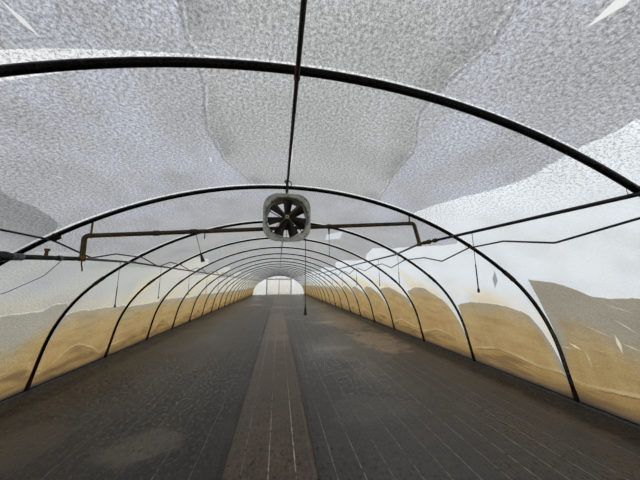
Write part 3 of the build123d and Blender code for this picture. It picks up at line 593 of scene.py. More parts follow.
def cover_colours(y, s):
    """The cover's zones from the crown to the ground."""
    where = on_sheet(y, s)
    on_right = rise(s, -0.2, 0.2)
    far = rise(y, -15.5, -11.0)
    run = unsigned(s)

    def jag(scale, reach, detail=6.0):
        return times(minus(cloud(where, scale, detail, 0.7), 0.5), reach)

    def edge(zone):
        return put(y.id_data, "ShaderNodeAttribute", attribute_name=zone + "_edge").outputs["Fac"]

    def drawn_out(along, around, scale, low, high, detail=5.0):
        return mottle(moved(where, (along, around, 1)), scale, low, high, detail)

    # Overhead: grey with wet droplets in broad lighter and darker sheets, and one flat wet puddle
    # along the ridge with a rippled edge
    pale_roof = over("BFC3CE", "BCBCBB", rise(y, -16.2, -14.0))
    roof = over(pale_roof, "B4B6BA", drawn_out(0.7, 1.6, 1.3, 0.38, 0.62, 3.0))
    near_roof = rise(y, -15.95, -16.25)
    puddle = plus(edge("puddle"), jag(3.5, 0.10))
    inside = times(rise(puddle, -0.01, 0.02), near_roof)
    roof = over(roof, "BABBBC", inside, 0.9)
    shaded = times(times(rise(puddle, 0.32, 0.02), inside), drawn_out(1.0, 1.0, 1.6, 0.35, 0.65, 3.0))
    roof = over(roof, "8E9092", shaded, 0.72)
    broken = drawn_out(1.0, 1.0, 5.0, 0.35, 0.6, 4.0)
    dark_edge = times(rise(unsigned(puddle), 0.016, 0.0), near_roof)
    roof = over(roof, "7E8082", dark_edge, 0.55)
    light_edge = rise(unsigned(minus(puddle, 0.020)), 0.010, 0.002)
    light_edge = times(times(light_edge, broken), near_roof)
    roof = over(roof, "DADCE0", light_edge, 0.6)

    # Haunches: clear and bright, brightest on the right, with faint cream run-off, and a wet dark
    # sheet under the roof on the near left
    to_clear = plus(edge("roof"), jag(1.2, 0.12))
    clear_left = over("C2C6C7", "E4E4DC", far)
    wet_sheet = times(rise(to_clear, 0.75, 0.05), rise(y, -15.9, -16.3))
    clear_left = over(clear_left, "939497", wet_sheet)
    clear = over(clear_left, "F2F8FE", on_right)
    cream = times(drawn_out(1.0, 0.45, 1.1, 0.45, 0.70, 3.0), rise(run, 2.5, 3.4))
    clear = over(clear, "F6E4B0", times(cream, plus(times(far, 0.62), 0.10)))
    colour = over(roof, clear, rise(to_clear, -0.010, 0.010))

    # Algae: grey-tan at its upper edge, ochre lower down, in runs, with a thin white torn rim
    below = plus(edge("mould"), jag(2.2, 0.14))
    runs = drawn_out(7.0, 1.3, 1.0, 0.3, 0.7)
    slanted = mottle(moved(where, (1.2, 5.0, 1), (0, 0, 0.7)), 1.3, 0.42, 0.68, 4.0)
    depth = plus(below, jag(1.4, 0.5, 3.0))
    in_mould = rise(below, -0.006, 0.006)
    near_sheet = times(rise(y, -15.9, -16.4), on_right)
    left_sheet = times(rise(y, -14.0, -14.8), minus(1.0, on_right))
    grey_sheet = plus(times(near_sheet, 0.62), times(left_sheet, 0.50))
    aged_by = plus(minus(depth, grey_sheet), 0.14)
    upper = over("B8B6A8", "AEB0A8", near_sheet)
    mould = over(upper, "CAAC6E", rise(aged_by, 0.02, 0.60))
    mould = over(mould, "C09A54", rise(aged_by, 0.5, 1.15))
    mould = over(mould, "8A7142", plus(times(near_sheet, 0.14), times(on_right, 0.20)))
    mould = over(mould, "D3BB82", times(times(runs, 0.40), rise(aged_by, 0.0, 0.4)))
    mould = over(mould, "A67A3C", times(times(slanted, 0.46), rise(aged_by, 0.0, 0.4)))
    grain = mottle(where, 16.0, 0.35, 0.7, 5.0, 0.75)
    mould = over(mould, "94783F", grain, 0.25)
    stain = times(rise(below, -0.50, -0.02), drawn_out(1.2, 0.8, 1.4, 0.30, 0.62, 4.0))
    stain = times(stain, rise(y, -16.5, -15.5))
    colour = over(colour, "F3DDA8", times(stain, plus(0.35, times(on_right, 0.30))))
    colour = over(colour, mould, in_mould)
    white_rim = rise(unsigned(plus(below, 0.012)), 0.014, 0.004)
    colour = over(colour, "FAF8EE", times(times(white_rim, 0.85), plus(0.45, times(broken, 0.55))))

    # Flakes torn off beside some hoops, and the crease above the belly at the foot, with painted shade along
    # the crease and in the folds below it, a painted highlight just above it, and darker towards the foot
    to_hoop = pingpong(plus(y, tunnel_half), bay / 2)
    near_hoop = rise(to_hoop, 0.30, 0.02)
    flake = mottle(moved(where, (1.6, 1.0, 1)), 4.2, 0.63, 0.655, 8.0, 0.78)
    flake = times(flake, times(near_hoop, rise(run, 3.5, 3.9)))
    colour = over(colour, "F6F0DC", flake)
    crease = plus(edge("crease"), jag(3.0, 0.07))
    belly = rise(crease, 0.0, 0.05)
    colour = over(colour, "B08A3E", times(rise(crease, -0.06, 0.06), 0.55))
    # painted shade in the folds of the belly below the crease
    fold_shade = drawn_out(1.6, 8.0, 1.0, 0.42, 0.62)
    colour = over(colour, "745424", times(times(fold_shade, belly), 0.70))
    lower = rise(minus(run, 5.32), -0.34, -0.02)
    colour = over(colour, "5E4218", times(lower, plus(0.55, times(on_right, 0.25))))
    pleats = drawn_out(1.1, 3.0, 1.0, 0.40, 0.60, 3.0)
    # painted shade along the crease
    crease_shade = times(rise(unsigned(crease), 0.014, 0.0), pleats)
    colour = over(colour, "4E3A20", crease_shade, 0.75)
    # painted shade along a second fold below the crease
    second_fold = unsigned(minus(plus(crease, jag(2.0, 0.10)), 0.10))
    second_fold_shade = times(rise(second_fold, 0.012, 0.0), drawn_out(0.8, 2.0, 1.3, 0.45, 0.60, 3.0))
    colour = over(colour, "5E4420", second_fold_shade, 0.55)
    # painted highlight just above the crease
    crease_highlight = rise(unsigned(plus(crease, 0.036)), 0.034, 0.0)
    colour = over(colour, "EAD8AA", times(times(crease_highlight, 0.45), pleats))
    foot = rise(plus(run, jag(6.0, 0.06)), 5.19, 5.27)
    colour = over(colour, "1C140D", foot, 0.92)

    # The line beside the hoops, droplets over everything, then slits, scratches and torn spots
    dry = over((0.97, 0.98, 1.0, 1), "FBF1DA", rise(run, 3.2, 3.9))
    colour = over(colour, dry, times(beside_hoops(y, s, run), 0.85))
    in_clear = times(rise(to_clear, -0.01, 0.03), plus(0.50, times(on_right, 0.38)))
    strength = larger(minus(1.0, in_clear), wet_sheet)
    strength = larger(strength, times(in_mould, 0.38))
    colour = droplets(y, s, colour, strength)
    slit_white, scratch, torn = "FFFFFF", "D8D2BE", "F6EFD8"
    for start, end, width, tone, share in (
        # start and end as (along the tunnel, from the crown), width
        ((-18.29, -1.178), (-18.10, -1.165), 0.014, slit_white, 0.95),
        ((-18.78, 1.245), (-18.52, 1.220), 0.030, slit_white, 0.95),
        ((-17.35, 0.022), (-16.56, 0.020), 0.006, slit_white, 0.95),
        ((-16.99, -0.742), (-16.81, -0.752), 0.008, slit_white, 0.95),
        ((-17.10, -1.900), (-16.99, -1.890), 0.006, slit_white, 0.8),
        ((-14.36, 1.26), (-12.84, 1.10), 0.20, "E6EDF6", 0.9),
        ((-16.05, 3.26), (-15.69, 3.69), 0.042, "97979B", 0.9),
        ((-16.58, 4.16), (-16.90, 4.33), 0.009, scratch, 0.7), ((-16.89, 4.24), (-16.87, 4.50), 0.022, torn, 0.9),
        ((-16.90, 4.35), (-17.06, 4.42), 0.010, torn, 0.7), ((-16.94, 4.02), (-17.12, 4.24), 0.007, torn, 0.85),
        ((-16.97, 3.84), (-17.20, 3.97), 0.005, torn, 0.8), ((-16.32, 4.48), (-16.47, 4.555), 0.018, torn, 0.95),
        ((-16.21, 4.56), (-16.37, 4.56), 0.007, torn, 0.8), ((-16.49, 4.50), (-16.51, 4.78), 0.006, torn, 0.7),
        ((-16.54, 4.50), (-16.80, 4.51), 0.004, scratch, 0.8), ((-14.33, 4.20), (-14.20, 4.36), 0.020, torn, 0.9),
        ((-12.53, 4.15), (-12.35, 4.40), 0.022, torn, 0.9),
    ):
        mark = film_streak(y, s, start, end, width)
        colour = over(colour, tone, times(mark, share))
    return over(colour, (1, 1, 1, 1), 0.06)


film_outer, outer_tree, outer_shader = blank("film outer face")
outer_dust = mottle(place(outer_tree), 2.0, 0.35, 0.7, 3.0)
outer_white = over("F2F4F3", "D6D8CE", outer_dust)
outer_tree.links.new(outer_white, outer_shader.inputs["Base Color"])
outer_shader.inputs["Roughness"].default_value = 0.4
outer_milk = blend(0.5, outer_shader.outputs[0], shader_of(outer_tree, "Translucent", Color=outer_white))
outer_mix = blend(ranged(outer_dust, 0.24, 0.36), shader_of(outer_tree, "Transparent"), outer_milk)
outer_tree.links.new(outer_mix, outer_tree.nodes["Material Output"].inputs["Surface"])


def thicken(piece, thickness, offset, finish_step=0):
    """Makes a closed shell of a sheet, with its own finish on the second face."""
    shell = piece.modifiers.new("thickness", "SOLIDIFY")
    shell.thickness, shell.offset, shell.material_offset = thickness, offset, finish_step
    shell.use_even_offset = False


cover_piece = piece_from(
    cover, "polythene_cover", [film_outer, film_inner("cover film", cover_colours)], smooth=True)
thicken(cover_piece, film_thickness, -1, 1)
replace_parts(cover_piece, *[f"film_{side}_{i}" for side in ("left", "right") for i in range(1, 7)])


# Battens: black muddy timber, sawn square and laid between the feet of the hoops, with three
# screws a bay that hold the film's foot against it.
def along_grain(tree, colour):
    """Long dark grain lines and mud splashed on the lower half."""
    grain = mottle(place(tree, (30, 0.6, 30)), 2.0, 0.35, 0.65, 5.0)
    colour = over(colour, "0B0908", grain, 0.6)
    mud = mottle(place(tree), 6, 0.45, 0.7, 6.0)
    return over(colour, "3A2E22", mud, 0.5)


batten_wood = aged("muddy batten", "14110E", "211B15", "2E251B", 8, (0.6, 0.9), dents=0.5, extra=along_grain)
finish_node("battens", batten_wood)
screw_steel = aged("dull screw", "4A4640", "2E241C", "1C140F", 60, (0.4, 0.7), metal=0.8, dents=0.2)
batten_thickness, batten_screw_height, batten_screw_steps = 0.020, 0.024, (0.2, 0.9, 1.6)
batten_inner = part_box("battens")[1].x - batten_thickness
screws("batten_screws", [
    (Vector((side * batten_inner, y + step, batten_screw_height)), Vector((-side, 0, 0)), 0.006, 0.003, 8)
    for y in hoop_ys[:-1] for side in (-1, 1) for step in batten_screw_steps], screw_steel)


# End walls: film across each end round the doorway, brighter than the cover, slightly billowed
# between the hoop and the door posts.
def end_colours(low, high, speckled):
    """Two tones of film with damp streaks running down, and a painted shade of grey across the top, above the
    doorway.
    """
    def coloured(y, s):
        where = on_sheet(y, s)
        damp = mottle(moved(where, (5.0, 0.7, 1)), 1.0, 0.35, 0.7, 5.0)
        colour = over(high, speckled, damp, 0.5)
        height = plus(s, times(mottle(where, 2.0, 0.3, 0.7), 0.4))
        colour = over(low, colour, rise(height, 0.05, 0.9))
        # painted shade: grey over the film higher than the top of the doorway
        return droplets(y, s, over(colour, "B9BCC0", rise(height, 2.35, 2.55)), 0.5)
    return coloured


end_inner = film_inner("end film", end_colours("DAD3AE", "FBFEF8", "F0F4EA"), 0.70)
end_face = tunnel_half + on_film
wall_offset = 0.02845
panel_edge, lintel = 1.85, 2.31
panel_steps, panel_rows = 22, 30


def last_spot(holds, reach):
    """The last spot of an end wall's outline, going out from the crown, where a test still holds."""
    low, high = 0.0, reach
    for _ in range(30):
        middle = (low + high) / 2
        if holds(outline(middle, wall_offset)[0]):
            low = middle
        else:
            high = middle
    return outline(low, wall_offset)[0]


def flat_film(name, spans, end, finish, body="root", thickness=0.002, billow=0.004, stand=0.001):
    """A sheet in an end wall's plane. Each span is (columns, rows, function of two shares to x and z)."""
    bm = bmesh.new()
    uv = bm.loops.layers.uv.new("film")
    places = {}
    for columns, rows, lay_out in spans:
        grid = bmesh.ops.create_grid(bm, x_segments=columns, y_segments=rows, size=0.5)
        for vert in grid["verts"]:
            x, z = lay_out(vert.co.x + 0.5, vert.co.y + 0.5)
            rim = min(1, 8 * (0.5 - abs(vert.co.x)), 8 * (0.5 - abs(vert.co.y)))
            ripple = noise.noise(Vector((x * 2.6, z * 1.7, end * 7.0)))
            ripple += 0.5 * noise.noise(Vector((x * 9, z * 3, 4.0)))
            push = stand + billow * rim * (0.5 + 0.5 * max(-1, min(1, ripple)))
            places[vert] = (x, z)
            vert.co = Vector((x, end * (end_face + push), z))
    for face in bm.faces:
        for loop in face.loops:
            loop[uv].uv = places[loop.vert]
    if end > 0:
        bmesh.ops.reverse_faces(bm, faces=bm.faces)
    bmesh.ops.remove_doubles(bm, verts=bm.verts, dist=1e-5)
    piece = piece_from(bm, name, [film_outer, finish], body, smooth=True)
    thicken(piece, thickness, 1, 1)
    return piece


def side_panel(side):
    """The wall beside the doorway, from the door post out to the hoop."""
    corner = last_spot(lambda spot: spot.x < panel_edge, 3.4).z

    def lay_out(a, b):
        z = (corner - 0.002) * b
        reach = max(last_spot(lambda spot: spot.z > z, foot_run).x, panel_edge + 0.0005)
        x = panel_edge + (reach - panel_edge) * a
        return (x, z) if side > 0 else (-panel_edge - (reach - panel_edge) * (1 - a), z)
    return panel_steps, panel_rows, lay_out


def top_panel(a, b):
    """The wall over the doorway, from the lintel up to the hoop."""
    x = -panel_edge + 2 * panel_edge * a
    top = sqrt((roof_radius + wall_offset) ** 2 - x * x) + roof_centre_z
    return x, lintel + (top - lintel) * b


for end, end_name in ((-1, "near"), (1, "far")):
    wall = flat_film(
        f"{end_name}_end_film", [side_panel(-1), side_panel(1), (36, 6, top_panel)], end, end_inner)
    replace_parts(wall, "end_film_left", "end_film_right", "end_film_top")


# Door posts and headers: rough sawn timber under the end hoops, stained dark with damp, the
# darkest where it stands in the ground's wet.
def post_grain(tree, colour):
    """Grain along the upright, darker with damp near the ground."""
    grain = mottle(place(tree, (26, 26, 0.7)), 2.0, 0.35, 0.65, 5.0)
    colour = over(colour, "1E1A16", grain, 0.55)
    height = put(tree, "ShaderNodeSeparateXYZ", {0: place(tree)}).outputs["Z"]
    return over(colour, "17120D", rise(height, 0.6, 0.0))


post_wood = aged("door post", "2B2824", "3A352E", "1B1815", 6, (0.6, 0.85), dents=0.4, extra=post_grain)
finish_node("door_posts", post_wood)
finish_node("door_headers", post_wood)


# Doors: welded square tube, a strap hinge at two heights, and film on the outer face. The far
# leaves swing outwards; the near pair stays shut.
leaf_tube = aged("door tube", "1B1D1B", "2A2B28", "3A2417", 10, (0.4, 0.65), shine=0.4, extra=foot_rust)
strap_rust = aged("strap hinge", "241811", "3A2616", "15110E", 22, (0.55, 0.85), dents=0.4)
for name in ("near_door_frames", "far_door_left_frame", "far_door_right_frame"):
    finish_node(name, leaf_tube)
for name in ("near_door_straps", "far_door_left_straps", "far_door_right_straps"):
    finish_node(name, strap_rust)
door_inner = film_inner("door film", end_colours("D6CDA6", "FAF6E4", "EFE9CC"), 0.52)
leaf_inner_x, leaf_outer_x, leaf_low, leaf_top = 0.006, 1.788, 0.015, 2.292
hinge_heights = (0.4, 1.9)
strap_outer = end_face + 0.012
hinge_x, bolt_reaches = 1.794, (0.06, 0.16, 0.26)


def leaf_panel(side):
    """The film of one leaf, from the middle of the doorway to its hinges."""
    def lay_out(a, b):
        x = leaf_inner_x + (leaf_outer_x - leaf_inner_x) * (a if side > 0 else 1 - a)
        return side * x, leaf_low + (leaf_top - leaf_low) * b
    return 20, 26, lay_out


for end, end_name in ((-1, "near"), (1, "far")):
    for side, side_name in ((-1, "left"), (1, "right")):
        body = f"far_door_{side_name}" if end > 0 else "root"
        node_film = f"far_door_{side_name}_film" if end > 0 else "near_door_films"
        leaf = flat_film(
            f"{end_name}_{side_name}_door_film", [leaf_panel(side)], end, door_inner, body,
            0.0015, 0.0025, 0.0008)
        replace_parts(leaf, node_film)
        bolt_y = end * (strap_outer - 0.0005)
        screws(f"{end_name}_{side_name}_strap_bolts", [
            (Vector((side * (hinge_x - reach), bolt_y, height)), Vector((0, end, 0)), 0.008, 0.006)
            for height in hinge_heights for reach in bolt_reaches], strap_rust, body)


# Ground cover: woven black polypropylene in two wide strips, and a narrower walkway strip gone
# brown, all with pale tracer threads lengthwise. It is dusty, puckered and pinned by the battens.
cover_end, tape_pitch = end_face - 0.0605, 0.012


def tracer(x, spacing, shift, half_width):
    """Thin lines along the strip, evenly spaced."""
    away = pingpong(plus(x, 20 * spacing - shift), spacing / 2)
    return rise(away, half_width, half_width * 0.4)


def woven(name, dark, light, thread, spacing, shift, half_width, thread_share, dirt):
    """Woven tape with tracer threads, dust and mud."""
    made, tree, shader = blank(name)
    where = place(tree)
    split = put(tree, "ShaderNodeSeparateXYZ", {0: where})
    x, y = split.outputs["X"], split.outputs["Y"]
    tapes = times(sine(times(x, 2 * pi / tape_pitch)), sine(times(y, 2 * pi / tape_pitch)))
    colour = over(dark, light, rise(tapes, -0.8, 1.0))
    colour = over(colour, light, mottle(place(tree, (1, 14, 1)), 1.3, 0.35, 0.7, 4.0), 0.35)
    worn_away = mottle(place(tree, (6, 0.5, 1)), 1.0, 0.3, 0.55)
    colour = over(colour, thread, times(tracer(x, spacing, shift, half_width), worn_away), thread_share)
    colour = over(colour, thread, tracer(x, 0.05, 0.0, 0.003), 0.10)
    colour, wet = dirt(tree, colour, x, y, where)
    speckle = cloud(place(tree, (1, 0.55, 1)), 26.0, 4.0, 0.85)
    lift = ranged(speckle, 0.20, 1.9, 0.36, 0.64)
    tree.links.new(lit_by(colour, lift), shader.inputs["Base Color"])
    dull = times(ranged(wet, 0.52, 0.28), lift, clamp=True)
    tree.links.new(dull, shader.inputs["Roughness"])
    shader.inputs["Specular IOR Level"].default_value = 0.22
    shader.inputs["Sheen Weight"].default_value = 0.16
    shader.inputs["Sheen Roughness"].default_value = 0.4
    height = plus(times(tapes, 0.2), mottle(where, 30, 0.2, 0.8))
    tree.links.new(bumped(height, 0.35, 0.003), shader.inputs["Normal"])
    return made


def patch(tree, x, y, centre, reach, softness=0.4):
    """A ragged round patch: 1 at its middle, 0 past its reach across and along."""
    dx = divided(minus(x, centre[0]), reach[0])
    dy = divided(minus(y, centre[1]), reach[1])
    away = root(plus(times(dx, dx), times(dy, dy)))
    ragged = mottle(place(tree), 2.6, 0.2, 0.8, 6.0)
    away = plus(away, times(minus(ragged, 0.5), 0.9))
    return rise(away, 1.0, 1.0 - softness)


def strip_dirt(patches, mud, mud_share):
    """Pale dust, marks given as (middle, reach, colour, share), and mud that thickens towards the sides."""
    def dirt(tree, colour, x, y, where):
        dust = mottle(place(tree, (1, 0.5, 1)), 0.9, 0.45, 0.75, 7.0, 0.6)
        colour = over(colour, "5A5550", dust, 0.45)
        wet = mottle(place(tree, (1, 0.6, 1)), 0.5, 0.5, 0.7)
        for centre, reach, tone, share in patches:
            colour = over(colour, tone, patch(tree, x, y, centre, reach), share)
        soil = mottle(where, 3.2, 0.4, 0.62, 7.0)
        soil = times(soil, plus(times(rise(unsigned(x), 2.6, 3.5), 0.6), mud_share))
        colour = over(colour, mud, soil)
        # a near-black band along both sides of the ground cover, against the battens
        edge_band = rise(plus(unsigned(x), times(mottle(where, 5, 0.3, 0.7), 0.05)), 3.40, 3.52)
        colour = over(colour, "0D0A07", edge_band, 0.9)
        crumbs = mottle(where, 55, 0.68, 0.74, 3.0)
        return over(colour, "6E6252", crumbs, 0.5), wet
    return dirt


left_patches = [
    ((-1.4, -16.16), (0.50, 0.33), "6A6258", 0.6), ((-3.0, -14.8), (0.6, 0.45), "4A4036", 0.5),
    ((-3.3, -15.5), (0.55, 0.9), "2C241C", 0.9), ((-2.75, -15.9), (0.5, 0.5), "4E463C", 0.7),
    ((-2.95, -14.35), (0.70, 1.0), "201811", 0.97), ((-3.2, -12.9), (0.4, 0.8), "33291F", 0.8),
    ((-2.0, -10.0), (1.5, 4.0), "4A4742", 0.30)]
right_patches = [
    ((1.9, -12.4), (1.0, 1.8), "6E6B62", 0.45), ((2.75, -12.0), (0.75, 1.7), "94826C", 0.80),
    ((2.7, -7.6), (1.1, 3.6), "7E6E5A", 0.75), ((1.15, -15.8), (0.7, 0.4), "5E5C56", 0.5),
    ((1.3, -12.7), (0.6, 0.35), "8E8A80", 0.5), ((1.9, -8.4), (0.5, 0.4), "A39C90", 0.5)]
black_woven_left = woven(
    "black weave left", "1B1B1A", "353330", "8A8880", 0.31, -0.80, 0.005, 0.6,
    strip_dirt(left_patches, "3A3128", 0.2))
black_woven_right = woven(
    "black weave right", "2C2C2B", "4A4844", "96958E", 0.235, 0.44, 0.005, 0.75,
    strip_dirt(right_patches, "54483A", 0.14))
brown_woven = woven(
    "brown weave", "352C22", "5A4E3E", "B8AEA0", 0.235, -0.14, 0.006, 0.95, strip_dirt([
        ((-0.1, -14.0), (0.5, 2.0), "54483A", 0.4), ((0.0, -8.0), (0.6, 4.5), "7C6C58", 0.6)], "5E5244", 0.45))


def lay_sheet(name, low_x, high_x, columns, finish, lift=0.0):
    """A long sheet on the ground, puckered, with its outer edge turned up against the battens."""
    bm = bmesh.new()
    bmesh.ops.create_grid(bm, x_segments=columns, y_segments=sheet_rows, size=0.5)
    for vert in bm.verts:
        x = low_x + (high_x - low_x) * (vert.co.x + 0.5)
        y = vert.co.y * 2 * cover_end
        pucker = noise.fractal(Vector((x * 1.7, y * 0.9, 2.0)), 1.0, 2.0, 4)
        turned_up = min(0.030, max(0, abs(x) - turn_up_from) * 1.2)
        vert.co = Vector((x, y, lift + 0.0040 + 0.0022 * max(-1, min(1, pucker)) + turned_up))
    piece = piece_from(bm, f"{name}_cover_sheet", [finish], smooth=True)
    thicken(piece, 0.0009, -1)
    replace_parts(piece, f"ground_cover_{name}")


sheet_edge, sheet_rows, turn_up_from = batten_inner - 0.001, 330, 3.46
lay_sheet("left", -sheet_edge, -0.515, 34, black_woven_left)
lay_sheet("right", 0.265, sheet_edge, 36, black_woven_right)
lay_sheet("walkway", -0.53, 0.28, 12, brown_woven, 0.0035)


# Fan: a moulded grey-green housing with a round duct, a dark seven-bladed rotor on the shaft of a
# small motor, crossed guard rods with a washer in front, and a hook over the purlin.
fan_centre_height = 2.372


def fan_grime(tree, colour):
    """Black grime in the corners and towards the duct, and green algae on top."""
    where = place(tree, shift=(0, 0, -fan_centre_height))
    split = put(tree, "ShaderNodeSeparateXYZ", {0: where})
    x, z = split.outputs["X"], split.outputs["Z"]
    away = root(plus(times(x, x), times(z, z)))
    ragged = times(mottle(place(tree), 14, 0.2, 0.8, 6.0), 0.03)
    top = rise(z, 0.05, 0.27)
    algae = mottle(place(tree), 9, 0.50, 0.66, 6.0)
    colour = over(colour, "6C7A52", times(algae, plus(0.35, times(top, 0.35))))
    mouth = rise(plus(away, ragged), 0.276, 0.246)
    colour = over(colour, "241B12", mouth, 0.88)
    runs = mottle(place(tree, (26, 26, 3)), 1.0, 0.5, 0.7, 4.0)
    return over(colour, "6E6A58", runs, 0.5)


fan_shell = aged(
    "fan shell", "B4B5AE", "9FA197", "6E7062", 12, (0.35, 0.6), shine=0.5, dents=0.1, extra=fan_grime)
fan_blade = aged("fan blade", "1A1715", "26211D", "3A312A", 25, (0.5, 0.8), shine=0.3, dents=0.2)
fan_steel = aged("fan steel", "2A1C15", "3C2A20", "1A1310", 40, (0.5, 0.8), shine=0.4, dents=0.3)
finish_node("fan_housing", fan_shell)
finish_node("fan_rotor", fan_blade)
finish_node("fan_motor", fan_steel)
guard_rust = aged("guard rod rust", "54463A", "6E5A48", "2E231B", 60, (0.45, 0.7), metal=0.2, dents=0.3)
finish_node("fan_guard", guard_rust)
finish_node("fan_hook", clamp_rust)
fan_low, fan_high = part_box("fan_housing")
fan_mid = Vector((0, fan_low.y, (fan_low.z + fan_high.z) / 2))
rotor_y, corner_turn = -16.39, sqrt(0.5)
rim_screws, duct_reach, duct_screw_y = ((0.2009, 0.22344), (0.22344, 0.2009)), 0.246, -0.0088
to_front = Vector((0, -1, 0))
fan_screw_spots = []
for across in (-1, 1):
    for up in (-1, 1):
        for x, z in rim_screws:
            fan_screw_spots.append((fan_mid + Vector((across * x, -0.0002, up * z)), to_front, 0.0075, 0.005))
        reach = duct_reach * corner_turn
        fan_screw_spots.append((
            fan_mid + Vector((across * reach, duct_screw_y, up * reach)), to_front, 0.010, 0.004, 12))
screws("fan_screws", fan_screw_spots, fan_steel)

washer_steel = aged("pale washer", "C2AE9A", "A08C78", "5E4C3C", 80, (0.4, 0.7), metal=0.1, dents=0.3)
guard_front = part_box("fan_guard")[0].y
washer = bmesh.new()
bmesh.ops.create_circle(washer, segments=24, radius=0.021)
bmesh.ops.create_circle(washer, segments=24, radius=0.008)
bmesh.ops.bridge_loops(washer, edges=list(washer.edges))
bmesh.ops.rotate(washer, verts=washer.verts, cent=(0, 0, 0), matrix=Matrix.Rotation(pi / 2, 3, "X"))
bmesh.ops.translate(washer, verts=washer.verts, vec=(0, guard_front - 0.0003, fan_mid.z))
bmesh.ops.solidify(washer, geom=list(washer.faces), thickness=-0.003)
closed_piece(washer, "guard_washer", washer_steel)
bolt_spot = Vector((0, guard_front - 0.0005, fan_mid.z))
screws("guard_bolt", [(bolt_spot, to_front, 0.010, 0.008)], clamp_rust)

hub_cap = bmesh.new()
bmesh.ops.create_cone(
    hub_cap, cap_ends=True, segments=28, radius1=0.044, radius2=0.034, depth=0.008,
    matrix=Matrix.Translation((0, rotor_y - 0.036, fan_mid.z)) @ Matrix.Rotation(pi / 2, 4, "X"))
bmesh.ops.bevel(
    hub_cap, geom=list(hub_cap.edges), offset=0.0015, segments=2, profile=0.5, material=-1, affect="EDGES")
piece_from(hub_cap, "fan_hub_cap", [fan_blade], "fan_rotor")

motor_fins = bmesh.new()
motor_rear, fin_count, fin_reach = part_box("fan_motor")[1].y, 24, 0.0645
for i in range(fin_count):
    angle = 2 * pi * i / fin_count
    bmesh.ops.create_cube(motor_fins, size=1, matrix=(
        Matrix.Translation((fin_reach * cos(angle), motor_rear - 0.052, fan_mid.z + fin_reach * sin(angle)))
        @ Matrix.Rotation(-angle, 4, "Y") @ Matrix.Diagonal((0.008, 0.060, 0.0025, 1))))
closed_piece(motor_fins, "motor_fins", fan_steel)


# Wire on the fan hook: a few loose turns of rusty wire round the purlin and the hook's stem, a
# thicker bent loop beside it, and the loop's twisted knot. All of it is bent by hand.
def coil(turns, count, spot_at):
    """Points of a winding, each from a function of its number and its angle."""
    return [spot_at(i, i / count * 2 * pi * turns) for i in range(count)]


hook_low, hook_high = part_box("fan_hook")
hook_y = (hook_low.y + hook_high.y) / 2
purlin_z = ridge - tube_radius - 0.004 - 0.0006 - 0.01345


def hook_turn(i, angle):
    reach = 0.0205 + 0.004 * sin(i * 1.7)
    return reach * sin(angle), hook_y + 0.010 + 0.0008 * i, purlin_z - 0.002 + reach * cos(angle)


hook_tail = [(0.012, hook_y + 0.045, purlin_z - 0.055), (0.020, hook_y + 0.040, purlin_z - 0.080)]
wire("fan_hook_wire", coil(3.3, 34, hook_turn) + hook_tail, 0.0016, clamp_rust)
wire("fan_hook_loop", coil(1, 12, lambda i, angle: (
    0.016 + 0.030 * sin(angle), -16.440 + 0.015 * cos(angle + 0.6), 2.777 + 0.042 * cos(angle))),
    0.0058, clamp_rust, closed=True)
wire("fan_hook_knot", coil(3.4, 26, lambda i, angle: (
    -0.017 + 0.014 * sin(angle) + 0.004 * sin(i * 1.3), -16.452 + 0.0011 * i, 2.806 + 0.016 * cos(angle))),
    0.0055, clamp_rust)


# Cross pipe: rusty iron water pipe with screwed couplings, hung behind the fan's hoop on two
# short stubs, and turned down at both ends into junction barrels.
def pipe_rust(tree, colour):
    """Scaly orange rust in blooms along the pipe, and green-black grime between."""
    blooms = mottle(place(tree), 4.5, 0.48, 0.60, 7.0, 0.65)
    colour = over(colour, "4A3218", blooms, 0.55)
    scale_marks = mottle(place(tree), 45, 0.55, 0.65, 5.0)
    colour = over(colour, "6A4A24", scale_marks, 0.40)
    ends = put(tree, "ShaderNodeSeparateXYZ", {0: place(tree)})
    side = rise(unsigned(ends.outputs["X"]), 1.5, 2.1)
    return over(colour, "5A4424", side, 0.35)


iron_pipe = aged(
    "rusty iron pipe", "2C281A", "3C3721", "17140F", 11, (0.6, 0.85), shine=0.3, dents=0.5, extra=pipe_rust)
hub_rust = aged("rusty junction", "5A4020", "7A5A2C", "2A1D10", 26, (0.65, 0.9), shine=0.3, dents=0.6)
finish_node("cross_pipe", iron_pipe)
finish_node("pipe_fittings", iron_pipe)
finish_node("pipe_junctions", hub_rust)
finish_node("pipe_hangers", hub_rust)

fan_hoop_y = hoop_ys[2]
cross_y = fan_hoop_y + 0.034
cross_left_x, cross_left_below, cross_right_x, cross_right_below = -2.2, 0.133, 1.73, 0.085


def roof_z(x):
    """Height of the roof arc at a place across the tunnel."""
    return roof_centre_z + sqrt(roof_radius ** 2 - x * x)


def cross_z(x):
    """Height of the cross pipe's centreline at a place across the tunnel."""
    left_z, right_z = roof_z(cross_left_x) - cross_left_below, roof_z(cross_right_x) - cross_right_below
    return left_z + (x - cross_left_x) * (right_z - left_z) / (cross_right_x - cross_left_x)


for side_name, centre_x in (("left", -2.14), ("right", 1.67)):
    wire(f"{side_name}_hanger_wire", coil(4.2, 40, lambda i, angle: (
        centre_x - 0.018 + 0.0009 * i, cross_y + 0.0285 * cos(angle), cross_z(centre_x) + 0.0285 * sin(angle))),
        0.0016, hub_rust)

# A thin bent pipe end under the left junction barrel
tail_points = (
    (-2.190, -16.166, 1.884), (-2.190, -16.168, 1.850), (-2.172, -16.174, 1.812), (-2.164, -16.178, 1.772))
wire("junction_tail", tail_points, 0.0065, iron_pipe)


